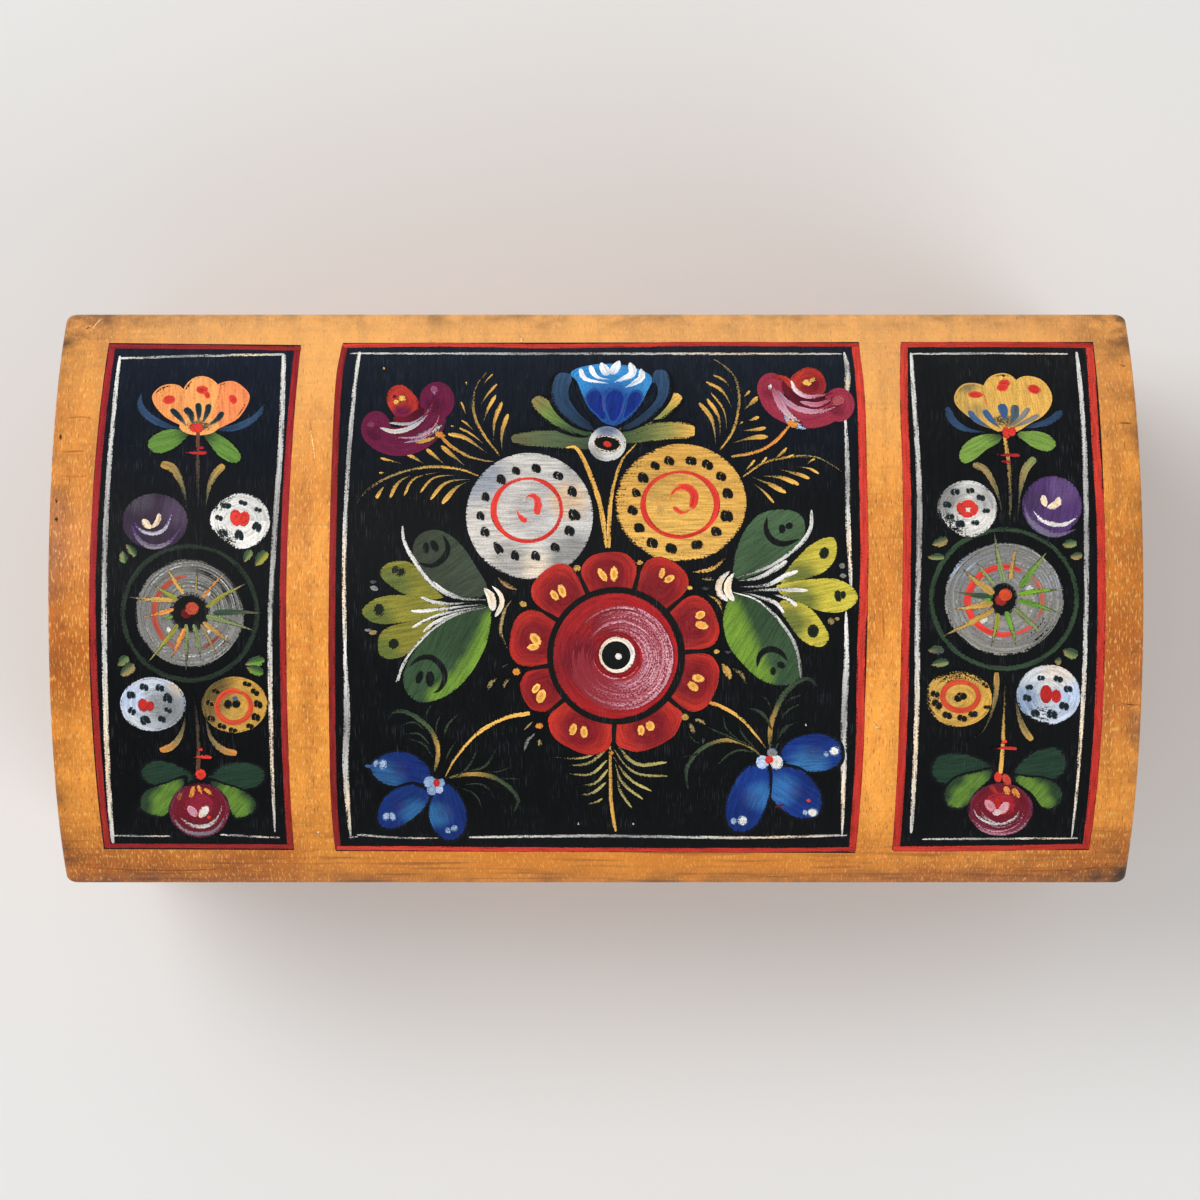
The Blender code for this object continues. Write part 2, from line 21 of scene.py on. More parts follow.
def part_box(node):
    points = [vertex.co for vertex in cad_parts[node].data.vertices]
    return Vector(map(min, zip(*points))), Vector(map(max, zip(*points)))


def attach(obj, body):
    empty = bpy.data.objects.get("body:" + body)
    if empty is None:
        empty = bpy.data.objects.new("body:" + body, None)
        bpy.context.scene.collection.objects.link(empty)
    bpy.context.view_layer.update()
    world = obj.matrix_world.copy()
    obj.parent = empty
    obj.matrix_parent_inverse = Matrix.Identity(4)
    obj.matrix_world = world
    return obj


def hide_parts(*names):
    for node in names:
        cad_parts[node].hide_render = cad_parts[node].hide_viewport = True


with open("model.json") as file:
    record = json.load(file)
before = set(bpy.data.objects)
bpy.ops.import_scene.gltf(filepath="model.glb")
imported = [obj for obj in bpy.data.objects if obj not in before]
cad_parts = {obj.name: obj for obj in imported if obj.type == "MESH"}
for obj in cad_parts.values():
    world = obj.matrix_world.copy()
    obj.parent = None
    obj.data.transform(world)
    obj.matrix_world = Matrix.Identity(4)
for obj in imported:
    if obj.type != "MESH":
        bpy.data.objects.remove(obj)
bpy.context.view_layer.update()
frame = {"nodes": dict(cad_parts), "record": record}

MM = 0.001
random.seed(7)

# %% [markdown]
# ## Where the lid's surface is
# The lid board is a shallow cylinder: its depth and rise give its radius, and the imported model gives
# its top. Painting is easier on a flat sheet, so everything painted is laid out in two numbers: x
# along the chest, and s, the distance round the curve from the crown. One function bends that sheet
# onto the board. A second one goes the other way, from a point of the photograph to the sheet. The
# photograph was taken from straight above, so a point is a ray down from the lens to the cylinder.

# %% The bent board and the photograph
LID_DEPTH = 162 * MM
LID_RISE = 40.5 * MM
LID_THICKNESS = 4 * MM
PHOTO_SIZE = 1200
PHOTO_FOCUS = 3996  # the focal length, in pixels of the photograph
LENS_ABOVE_EDGE = 1134 * MM
LENS_ACROSS = (1.13 * MM, -0.43 * MM)
LID_RADIUS = ((LID_DEPTH / 2) ** 2 + LID_RISE**2) / (2 * LID_RISE)
LID_SPAN = LID_RADIUS * math.asin(LID_DEPTH / 2 / LID_RADIUS)

lid_low, lid_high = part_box("lid_top_board")
AXIS_HEIGHT = lid_high.z - LID_RADIUS
LENS_HEIGHT = lid_high.z - LID_RISE + LENS_ABOVE_EDGE
PIXEL = (LENS_HEIGHT - lid_high.z) / PHOTO_FOCUS  # the size of one at the crown


def bend(point, lift=0.0):
    """From the flat sheet to the lid: x, s and a height above the board."""
    radius = LID_RADIUS + point.z + lift
    angle = point.y / LID_RADIUS
    return Vector((point.x, radius * math.sin(angle), AXIS_HEIGHT + radius * math.cos(angle)))


def on_lid(pixel):
    """From a point of the photograph to the flat sheet."""
    across = (pixel[0] - PHOTO_SIZE / 2) / PHOTO_FOCUS
    up = (PHOTO_SIZE / 2 - pixel[1]) / PHOTO_FOCUS
    drop = LENS_HEIGHT - AXIS_HEIGHT
    # The ray y = lens + up * t, z = height - t meets the cylinder at the smaller t.
    a = 1 + up**2
    b = LENS_ACROSS[1] * up - drop
    c = LENS_ACROSS[1] ** 2 + drop**2 - LID_RADIUS**2
    run = (-b - math.sqrt(max(0.0, b * b - a * c))) / a
    y = LENS_ACROSS[1] + up * run
    reach = math.asin(max(-1.0, min(1.0, y / LID_RADIUS))) * LID_RADIUS
    return Vector((LENS_ACROSS[0] + across * run, reach, 0.0))


print(f"radius {LID_RADIUS / MM:.1f} mm, one pixel is {PIXEL / MM:.3f} mm")

# %% [markdown]
# ## Camera, floor and light
# The camera looks straight down, as the photographer did, with the picture's top at the hinges. The
# photograph's black ground isn't part of the chest, so the floor is a plain pale sheet. Large, soft
# lamps keep colours close to what the materials say. The one on the left draws the thin bright line
# along the varnished left edge.

# %% Studio
FLOOR_SIZE = 9.0
FLOOR_RGB = (0.78, 0.78, 0.77)
SKY_LIGHT = 0.53
SENSOR = 36.0

camera = bpy.data.objects.new("camera", bpy.data.cameras.new("camera"))
camera.data.sensor_width = SENSOR
camera.data.lens = PHOTO_FOCUS / PHOTO_SIZE * SENSOR
camera.location = (*LENS_ACROSS, LENS_HEIGHT)
bpy.context.scene.collection.objects.link(camera)
bpy.context.scene.camera = camera


def add_lamp(name, place, target, size, watts):
    data = bpy.data.lights.new(name, "AREA")
    data.shape = "DISK"
    data.size = size
    data.energy = watts
    lamp = bpy.data.objects.new(name, data)
    lamp.location = place
    lamp.rotation_euler = (Vector(target) - Vector(place)).to_track_quat("-Z", "Y").to_euler()
    bpy.context.scene.collection.objects.link(lamp)


add_lamp("key", (-0.7, 0.5, 1.5), (0, 0, 0.1), 0.9, 12)
add_lamp("fill", (1.0, -0.9, 1.2), (0, 0, 0.08), 1.2, 7.8)
add_lamp("edge", (-1.5, 0.1, 0.45), (0, 0, 0.12), 0.7, 4.5)
world = bpy.data.worlds.new("studio")
world.use_nodes = True
world.node_tree.nodes["Background"].inputs["Color"].default_value = (1, 1, 1, 1)
world.node_tree.nodes["Background"].inputs["Strength"].default_value = SKY_LIGHT
bpy.context.scene.world = world
bpy.context.scene.view_settings.view_transform = "Standard"

# %% [markdown]
# ## Shader maths as plain sums
# A material is a graph of nodes, but it reads better as a sum. This small class wraps a socket, so
# that `1 - mask` or `grain * 0.3 + 0.7` adds the Math nodes it needs. Every other node comes from one
# method, which takes the node's type, its settings, and then the values or links of its sockets.


# %% A socket that can be added and multiplied
class Socket:
    def __init__(self, finish, socket):
        self.finish = finish
        self.socket = socket

    def maths(self, operation, *others):
        return self.finish.node("ShaderNodeMath", {"operation": operation}, *others)

    def __add__(self, other):
        return self.maths("ADD", self, other)

    def __sub__(self, other):
        return self.maths("SUBTRACT", self, other)

    def __rsub__(self, other):
        return self.maths("SUBTRACT", other, self)

    def __mul__(self, other):
        return self.maths("MULTIPLY", self, other)

    def __truediv__(self, other):
        return self.maths("DIVIDE", self, other)

    def __pow__(self, other):
        return self.maths("POWER", self, other)

    def __abs__(self):
        return self.maths("ABSOLUTE", self)

    __radd__ = __add__
    __rmul__ = __mul__

    def twin(self, name):
        """Another output of the same node."""
        return Socket(self.finish, self.socket.node.outputs[name])

    def clamp(self):
        return self.maths("MAXIMUM", self.maths("MINIMUM", self, 1.0), 0.0)

    def smooth(self, low, high):
        """0 below low, 1 above high, and an even slope between them."""
        settings = {"interpolation_type": "SMOOTHSTEP"}
        return self.finish.node("ShaderNodeMapRange", settings, self, low, high, 0.0, 1.0)


class Finish:
    """A material whose nodes are made by node(), around one Principled shader."""

    def __init__(self, name, **plain):
        self.material = bpy.data.materials.new(name)
        self.material.use_nodes = True
        self.tree = self.material.node_tree
        self.shader = self.tree.nodes["Principled BSDF"]
        self.wear(**plain)

    def feed(self, socket, value):
        if isinstance(value, Socket):
            self.tree.links.new(value.socket, socket)
        elif isinstance(value, (tuple, Vector)) and len(socket.default_value) == 4:
            socket.default_value = (*value[:3], 1.0)
        else:
            socket.default_value = value

    def node(self, kind, settings, *values, out=0, **named):
        made = self.tree.nodes.new(kind)
        for key, value in settings.items():
            setattr(made, key, value)
        for socket, value in zip([i for i in made.inputs if i.enabled], values):
            self.feed(socket, value)
        for key, value in named.items():
            self.feed(made.inputs[key], value)
        outputs = [socket for socket in made.outputs if socket.enabled]
        chosen = [socket for socket in outputs if socket.name == out]
        return Socket(self, chosen[0] if chosen else outputs[out])

    def noise(self, where, scale, detail=3.0, roughness=0.55):
        """Grey clouds. The scale is in clouds per metre, for each way if it is a tuple."""
        if isinstance(scale, tuple):
            where = self.node("ShaderNodeMapping", {}, where, Scale=Vector(scale))
            scale = 1.0
        values = {"Scale": scale, "Detail": detail, "Roughness": roughness}
        return self.node("ShaderNodeTexNoise", {}, where, out="Fac", **values)

    def mix(self, mask, first, second):
        settings = {"data_type": "RGBA"}
        return self.node("ShaderNodeMix", settings, mask, first, second)

    def scale(self, colour, factor):
        settings = {"operation": "SCALE"}
        return self.node("ShaderNodeVectorMath", settings, colour, Scale=factor)

    def bump(self, height, distance, strength):
        values = {"Height": height, "Distance": distance, "Strength": strength}
        return self.node("ShaderNodeBump", {}, out="Normal", **values)

    def wear(self, **sockets):
        """Feed the shader's own sockets, by name."""
        for socket, value in sockets.items():
            self.feed(self.shader.inputs[socket.replace("_", " ")], value)


def rgb(red, green, blue):
    """A colour as it is read off a screen, 0 to 255, in the linear values that Blender mixes."""
    shown = (red, green, blue)
    return tuple(((c / 255 + 0.055) / 1.055) ** 2.4 if c > 10 else c / 255 / 12.92 for c in shown)


print("finishes can be written as sums")


# %% [markdown]
# ## Stained, varnished wood
# The board is a pale, close-grained wood with an amber stain, so the light and dark parts are not
# planks' rings but short flecks, a few millimetres long, that lie along the grain. Under them are soft
# clouds where the stain took unevenly, and over them a darkening in the corners and along the
# edges. All of it is noise, stretched along the grain. The stretch is given as sizes in millimetres,
# along and across, for whichever way the board's grain runs. On the lid, painted light and shade and
# a painted sheen towards the back are laid into the stain as well.

# %% Wood finish
AMBER = rgb(188, 103, 27)
HONEY = rgb(255, 168, 66)
UMBER = rgb(120, 62, 26)
DARK_BROWN = rgb(62, 36, 22)
# The colour of a painted sheen on the lid's back half.
BARE = rgb(206, 170, 124)
SHEEN_TINT = rgb(255, 198, 130)
GOLD = rgb(255, 160, 44)
FLECK = rgb(255, 196, 104)
OILED = rgb(168, 124, 78)
INSIDE = (138.5 * MM, 66.6 * MM)  # half the room between the walls, along and across
BOTTOM = (0.006, 0.008)  # the height at which the bottom board's face lies is between these


def inside(wood, place):
    """1 on the faces inside the chest and under the lid, 0 outside."""
    x = wood.node("ShaderNodeSeparateXYZ", {}, place, out="X")
    y, z = abs(x.twin("Y")), x.twin("Z")
    end, side = INSIDE
    within = (1 - abs(x).smooth(end, end + MM)) * (1 - y.smooth(side, side + MM))
    radius = (y**2 + (z - AXIS_HEIGHT) ** 2) ** 0.5
    under_arch = 1 - radius.smooth(LID_RADIUS - 3 * MM, LID_RADIUS - 2 * MM)
    return within * under_arch * z.smooth(*BOTTOM)


def stained_wood(name, grain, darkening, light=0.0, age=None):
    """Grain is the axis it runs along. Darkening, light and age are functions that add their marks: light
    is painted light and shade, and age on the lid is a painted sheen with the front's gold.
    """
    wood = Finish(name, Specular_IOR_Level=0.25, Coat_Roughness=0.22)
    place = wood.node("ShaderNodeTexCoord", {}, out="Object")
    where = wood.node("ShaderNodeAttribute", {"attribute_name": "sheet"}, out="Vector")

    def stretched(along, across):
        return tuple(1 / (along if axis == grain else across) / MM for axis in "xyz")

    clouds = wood.noise(where, stretched(46, 30), detail=3.0)
    figure = wood.noise(where, stretched(60, 4.5), detail=4.0, roughness=0.6)
    fleck = wood.noise(where, stretched(2.1, 0.52), detail=2.0).smooth(0.53, 0.68)
    fine = wood.noise(where, stretched(1.0, 0.3), detail=1.0)
    pore = wood.noise(where, stretched(3.2, 0.42), detail=1.0).smooth(0.60, 0.74)
    mottle = wood.noise(where, stretched(7, 3), detail=3.0, roughness=0.7)
    ripple = wood.noise(where, stretched(1.8, 30), detail=2.0)
    # On the lid, light is painted light and shade, laid into the stain's clouds.
    if callable(light):
        light = light(wood, where)
    tint = wood.mix((clouds.smooth(0.34, 0.66) * 0.55 + light).clamp(), AMBER, HONEY)
    tint = wood.mix(figure.smooth(0.44, 0.70) * 0.26, tint, UMBER)
    tint = wood.mix(ripple.smooth(0.52, 0.72) * 0.16, tint, UMBER)
    tint = wood.mix(fleck * 0.62, tint, FLECK)
    tint = wood.mix(pore * 0.6, wood.scale(tint, 0.42 + mottle * 0.64 + fine * 0.48), UMBER)
    # On the lid, age adds a painted sheen towards the back, and the front's gold and dark bands.
    if age:
        tint = age(wood, where, tint)
    bare = inside(wood, place)
    tint = wood.mix(bare * 0.8, tint, wood.mix(figure, BARE, OILED))
    # The mask darkens the lid's corners and edges, and the walls low down and in patches.
    tint = wood.mix(darkening(wood, where, place), tint, DARK_BROWN)
    height = fleck * 0.3 - pore * 0.6 + figure * 0.4
    wood.wear(
        Base_Color=tint,
        Roughness=0.4 + clouds * 0.16 - fleck * 0.06 + bare * 0.25,
        Coat_Weight=0.14 - bare * 0.14,
        Normal=wood.bump(height, 0.10 * MM, 0.5),
    )
    return wood


print("wood ready")

# %% [markdown]
# ## The bent board
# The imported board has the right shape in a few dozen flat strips. A finer one stands in for it here:
# a flat grid with rounded corners, bent to the arc, given its thickness and then soft edges. Its
# vertices keep their flat place in an attribute, so the grain runs round the curve with them.

# %% Lid board
LID_LENGTH = lid_high.x - lid_low.x
LID_CORNER = 3.2 * MM
LID_EDGE_ROUND = 1.1 * MM
BOARD_STEPS = (60, 96)
CORNER_STRIP = LID_CORNER * 1.2  # the outermost faces are this wide, so that a corner fits in one
RIM = 0.999  # a grid of size 1 has its outermost points beyond this
SHARP = math.radians(50)


def put(name, mesh, finish, body):
    """Make an object of a bmesh, in its finish, that moves with a body of the frame."""
    data = bpy.data.meshes.new(name)
    mesh.to_mesh(data)
    mesh.free()
    data.materials.append(finish.material)
    data.shade_smooth()
    piece = bpy.data.objects.new(name, data)
    bpy.context.scene.collection.objects.link(piece)
    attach(piece, body)
    print(f"{name}: {len(data.polygons)} faces")
    return piece


def spread(place, steps, half):
    """Move a grid line, from -1 to 1, until the outermost strip is CORNER_STRIP wide."""
    if abs(place) > RIM:
        return math.copysign(1, place)
    return place / (1 - 2 / steps) * (1 - CORNER_STRIP / half)


def make_lid_board(finish):
    board = bmesh.new()
    bmesh.ops.create_grid(board, x_segments=BOARD_STEPS[0], y_segments=BOARD_STEPS[1], size=1)
    corners = [v for v in board.verts if abs(v.co.x) > RIM and abs(v.co.y) > RIM]
    for vert in board.verts:
        x = spread(vert.co.x, BOARD_STEPS[0], LID_LENGTH / 2)
        y = spread(vert.co.y, BOARD_STEPS[1], LID_SPAN)
        vert.co = (x * LID_LENGTH / 2, y * LID_SPAN, 0)
    bmesh.ops.bevel(
        board, geom=corners, offset=LID_CORNER, segments=6, profile=0.5, affect="VERTICES", material=-1
    )
    sheet = board.verts.layers.float_vector.new("sheet")
    for vert in board.verts:
        vert[sheet] = vert.co
        vert.co = bend(vert.co)
    piece = put("lid_board", board, finish, "lid")
    wall = piece.modifiers.new("thickness", "SOLIDIFY")
    wall.thickness = LID_THICKNESS
    wall.offset = -1
    rounding = piece.modifiers.new("edges", "BEVEL")
    rounding.width = LID_EDGE_ROUND
    rounding.segments = 4
    rounding.limit_method = "ANGLE"
    rounding.angle_limit = SHARP
    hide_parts("lid_top_board")


def lid_light(wood, where):
    """Painted light and shade in the stain: palest between the panels and towards the back, darker along
    the left end, the crown and the front.
    """
    x = wood.node("ShaderNodeSeparateXYZ", {}, where, out="X")
    s = x.twin("Y")
    back = s.smooth(-98 * MM, -52 * MM)
    crown = 1 - abs(s).smooth(4 * MM, 56 * MM)
    left_end = 1 - x.smooth(-148 * MM, -124 * MM)
    between = (1 - abs(x).smooth(95 * MM, 138 * MM)) * back * 0.3
    return between + back * 0.75 - 0.4 - crown * 0.42 - left_end * 0.2


def lid_darkening(wood, where, place):
    """Dark in the corners and along the edges, in broken patches."""
    along = wood.node("ShaderNodeSeparateXYZ", {}, where, out="X")
    x, s = abs(along), abs(along.twin("Y"))
    from_end = LID_LENGTH / 2 - x
    from_side = LID_SPAN - s
    near = 1 - from_end.smooth(0.0, 9 * MM) * from_side.smooth(0.0, 12 * MM)
    corner = (1 - from_end.smooth(0.0, 26 * MM)) * (1 - from_side.smooth(0.0, 30 * MM))
    patchy = wood.noise(where, 95.0, detail=4.0).smooth(0.36, 0.74)
    return ((near * 0.55 + corner * 0.8) * patchy).clamp()


def lid_sheen_and_age(wood, where, tint):
    """A painted sheen, paler towards the back, and along the front edge a deep gold with dark bands."""
    x = wood.node("ShaderNodeSeparateXYZ", {}, where, out="X")
    s = x.twin("Y")
    # A painted sheen: the stain is paler towards the back, and less so at the ends.
    back_sheen = (1 - abs(x).smooth(110 * MM, 150 * MM) * 0.6) * s.smooth(20 * MM, 74 * MM) * 0.4
    front = 1 - s.smooth(-88 * MM, -52 * MM)
    gold = front * (1 - abs(x).smooth(40 * MM, 110 * MM) * 0.95) * 0.5
    bands = wood.noise(where, (34.0, 420.0, 34.0), detail=4.0).smooth(0.48, 0.68)
    tint = wood.mix(gold, wood.mix(back_sheen, tint, SHEEN_TINT), GOLD)
    return wood.mix(bands * front * 0.6, tint, UMBER)


lid_wood = stained_wood("lid_wood", "y", lid_darkening, lid_light, lid_sheen_and_age)
make_lid_board(lid_wood)

# %% [markdown]
# ## The black panels and how paint is laid
# On the chest the painter first laid black panels on the varnished wood, let them dry, and then put
# down each petal, leaf and line with one pull of a loaded brush. A picture of that could be drawn
# into an image, but it would blur close by. Here each stroke is a thin sheet of its own, laid out
# flat in the order that the brush went, and bent onto the board at the end. The sheet is a plain grid
# whose points are moved: one way runs along the stroke, the other across it. Each point also
# remembers its colour, how much of the ground the paint covers there, and where it lies in the
# stroke, so that one material can draw the bristles' marks along every stroke, whichever way it turns.

# %% A line for the brush to follow
FIRST_COAT = 0.03 * MM
NEXT_COAT = 0.05 * MM
HAIR = 0.004 * MM  # each stroke lies this much above the last
SUNK = -0.04 * MM
RAGGED = 1.1 * MM
WOBBLE = 0.09 * MM
RIDGE = 0.75 * MM  # how far in from a stroke's edge the paint thins
TONES = (0.94, 1.06)  # no two loads of the brush are quite the same colour
STROKE_STEP = 3.5  # how many pixels of the photograph a face is long, along a stroke
PATCH_STEP = 3.2  # the same round a patch
RING_STEP = 3.6  # and from a patch's edge to its middle


def follow(points, closed=False):
    """A function that walks an even, smooth line through the points, from t = 0 to 1."""
    count = len(points)
    line = []
    for i in range(count if closed else count - 1):
        here, there = points[i], points[(i + 1) % count]
        before = points[i - 1] if closed or i else here
        after = points[(i + 2) % count] if closed or i + 2 < count else there
        third = (there - here).length / 3
        leave = here + (there - before).normalized() * third
        arrive = there - (after - here).normalized() * third
        line += interpolate_bezier(here, leave, arrive, there, 9)[:-1]
    line.append(points[0] if closed else points[-1])
    reach = [0.0]
    for here, there in zip(line, line[1:]):
        reach.append(reach[-1] + (there - here).length)

    def walk(t):
        gone = t * reach[-1]
        i = min(max(bisect(reach, gone) - 1, 0), len(line) - 2)
        share = (gone - reach[i]) / max(reach[i + 1] - reach[i], 1e-9)
        way = line[min(i + 2, len(line) - 1)] - line[max(i - 1, 0)]
        return line[i].lerp(line[i + 1], share), way.normalized(), gone

    return walk, reach[-1]


def ellipse(x, y, width, height, tilt=0.0, start=0.0, sweep=360.0, count=12):
    """Points of an oval or a part of one. Angles are in degrees, anticlockwise from the right."""
    turn = Matrix.Rotation(math.radians(tilt), 2)
    points = []
    for i in range(count if sweep == 360 else count + 1):
        angle = math.radians(start + sweep * i / count)
        across, up = turn @ Vector((width / 2 * math.cos(angle), height / 2 * math.sin(angle)))
        points.append((x + across, y - up))
    return points


def blend(stops, t):
    """A value or colour, or what a list of them, spread evenly from 0 to 1, gives at t."""
    if not isinstance(stops, list):
        return Vector(stops) if isinstance(stops, tuple) else stops
    place = t * (len(stops) - 1)
    i = min(int(place), len(stops) - 2)
    here, there = blend(stops[i], 0), blend(stops[i + 1], 0)
    return here + (there - here) * (place - i)


print("a brush can follow a line")


# %% A sheet of strokes
NIGHT = rgb(13, 15, 18)


class Painting:
    """Brush strokes laid on one flat sheet, each a hair above the one before it."""

    def __init__(self, place, unit, seed):
        self.place = place
        self.unit = unit
        self.mesh = bmesh.new()
        layers = self.mesh.verts.layers
        self.paint = layers.float_color.new("paint")
        self.under = layers.float_color.new("under")
        self.brush = layers.float_vector.new("brush")
        self.sheet = layers.float_vector.new("sheet")
        self.dice = random.Random(seed)
        self.level = FIRST_COAT
        self.count = 0

    def begin(self, coat=0):
        """Start a flower low down again, or a few coats up where it crosses another."""
        self.level = NEXT_COAT + coat * 8 * HAIR

    def lay(self, steps, across, reach, shape, colour, side=None, cover=1.0, under=NIGHT, soft=0, spots=()):
        """One stroke. Shape gives a place, the way gone, the way across, and how far in, 0 to 1."""
        grid = bmesh.ops.create_grid(self.mesh, x_segments=steps, y_segments=across, size=1)
        seed = self.dice.random() * 60
        tone = self.dice.uniform(*TONES)
        dabs = [(self.place(dab[:2]), dab[2] * self.unit, *dab[3:]) for dab in spots]
        self.level += HAIR
        self.count += 1
        for vert in grid["verts"]:
            t = (1 - math.cos(math.pi * (vert.co.x + 1) / 2)) / 2
            v = vert.co.y
            spot, gone, aside, inward = shape(t, v, seed)
            tint = blend(colour, t) * tone
            full = blend(cover, t)
            if side:  # the brush was loaded with a second colour on one side
                tint = tint.lerp(blend(side, t), min(1.0, max(0.0, 0.5 + v * 1.1)))
            if soft:
                full *= min(1.0, inward / soft)
            for middle, radius, dab, strength in dabs:  # worked in wet: a colour, or None for thin
                near = 1 - (spot - middle).length / radius
                if near > 0:
                    near = strength * min(1.0, near * 1.8)
                    full = full * (1 - near) if dab is None else full
                    tint = tint if dab is None else tint.lerp(Vector(dab), near)
            vert[self.paint] = (*tint, full)
            vert[self.under] = (*under, min(1.0, inward * reach / RIDGE))
            vert[self.brush] = (gone, aside, seed)
            vert[self.sheet] = spot
            vert.co = (spot.x, spot.y, self.level)

    def stroke(self, points, width, colour, taper=(0.3, 0.3), bow=0.0, closed=False, **look):
        """A pull of the brush along the points. Taper is how it swells in and runs out."""
        points = [self.place(point) for point in points]
        if len(points) == 2 and bow:
            run = points[1] - points[0]
            points.insert(1, points[0] + run / 2 + Vector((-run.y, run.x, 0)) * bow)
        walk, length = follow(points, closed)
        swell, fade = taper
        peak = swell / (swell + fade) if swell + fade else 0.5
        tallest = peak**swell * (1 - peak) ** fade
        half = width * self.unit / 2

        def shape(t, v, seed):
            spot, way, gone = walk(t)
            share = max(0.0, t) ** swell * max(0.0, 1 - t) ** fade / tallest
            rough = 0 if closed else noise.noise(Vector((gone / RAGGED, seed, v * 2))) * WOBBLE
            aside = v * (half + rough) * share
            return spot + Vector((-way.y, way.x, 0)) * aside, gone, aside, (1 - abs(v)) * share

        steps = max(5, min(70, round(length / self.unit / STROKE_STEP)))
        self.lay(steps, 4 if width > 5 else 2, half, shape, colour, **look)

    def strokes(self, lines, *shared, size=1.0, **look):
        """Strokes from a list. Each has its points and width, and what isn't shared."""
        for points, width, *own in lines:
            self.stroke(points, width * size, *own, *shared, **look)

    def patch(self, outline, colour, run=None, **look):
        """A filled shape. Run is the angle that the brush took, or else it went round and round."""
        points = [self.place(point) for point in outline]
        turned = sum(a.x * b.y - b.x * a.y for a, b in zip(points, points[1:] + points[:1]))
        if turned < 0:
            points.reverse()
        walk, length = follow(points, closed=True)
        middle = sum(points, Vector((0, 0, 0))) / len(points)
        radius = length / math.tau

        def shape(t, v, seed):
            spot, _, gone = walk(t)
            spot = middle + (spot - middle) * (1 - v) / 2
            if run is None:
                return spot, gone, radius * (1 - v) / 2, (1 + v) / 2
            way = Vector((math.cos(math.radians(run)), math.sin(math.radians(run)), 0))
            return spot, spot.dot(way), spot.x * way.y - spot.y * way.x, (1 + v) / 2

        steps = max(10, min(96, round(length / self.unit / PATCH_STEP)))
        rings = max(2, min(18, round(radius / self.unit / RING_STEP)))
        self.lay(steps, rings, radius, shape, colour, **look)

    def dab(self, x, y, width, height, tilt, colour, **look):
        self.patch(ellipse(x, y, width, height, tilt, count=8), colour, **look)

    def dabs(self, marks, *shared, **look):
        """Dabs from a list. Each ends with its colour, unless that is shared."""
        for mark in marks:
            self.dab(*mark, *shared, **look)

    def dashes(self, dots, ink, under, size=1.0):
        """Short marks of a brush that splits in two as it's pressed down."""
        for x, y, width, height, tilt in dots:
            lean = math.radians(tilt)
            for half in (-1, 1):
                aside = half * width * 0.2
                place = (x + aside * math.cos(lean), y - aside * math.sin(lean) + half * 0.6)
                wide, high = width * 0.8 * size, height * 1.08 * size
                self.dab(*place, wide, high, tilt + half * 12, ink, under=under)

    def ground(self, left, right, colour, steps, across):
        """A wide sheet between two edges, each given from its top down."""
        walk_left, _ = follow([self.place(point) for point in left])
        walk_right, _ = follow([self.place(point) for point in right])

        def shape(t, v, seed):
            spot = walk_left(t)[0].lerp(walk_right(t)[0], (1 + v) / 2)
            return spot, spot.y, spot.x, 1 - max(abs(v), abs(2 * t - 1))

        self.lay(steps, across, 30 * RIDGE, shape, colour)

    def hang(self, name, finish, body, wrap):
        """Close the strokes' sides down to the board, bend the sheet and make the piece."""
        mesh = self.mesh
        bmesh.ops.remove_doubles(mesh, verts=mesh.verts, dist=1e-7)
        rim = [edge for edge in mesh.edges if edge.is_boundary]
        for edge in rim:
            edge.smooth = False
        sides = bmesh.ops.extrude_edge_only(mesh, edges=rim)
        for item in sides["geom"]:
            if isinstance(item, bmesh.types.BMVert):
                item.co.z = SUNK
        for vert in mesh.verts:
            vert.co = wrap(vert.co)
        print(f"{name}: {self.count} strokes")
        return put(name, mesh, finish, body)


print("strokes, patches, dabs and grounds can be laid")

# %% [markdown]
# ## The paint itself
# One material serves every colour. It reads the colour and the cover that each point remembers. Fine
# noise, stretched along the stroke, stands for the bristles: where the paint thins, its streaks
# decide which hairs still touched the ground. Paint this old has cracked along the wood's grain, and
# the cracks are only a quarter of a millimetre wide, so they are noise too, stretched the board's way.

# %% Paint finish
DUST = rgb(96, 100, 110)


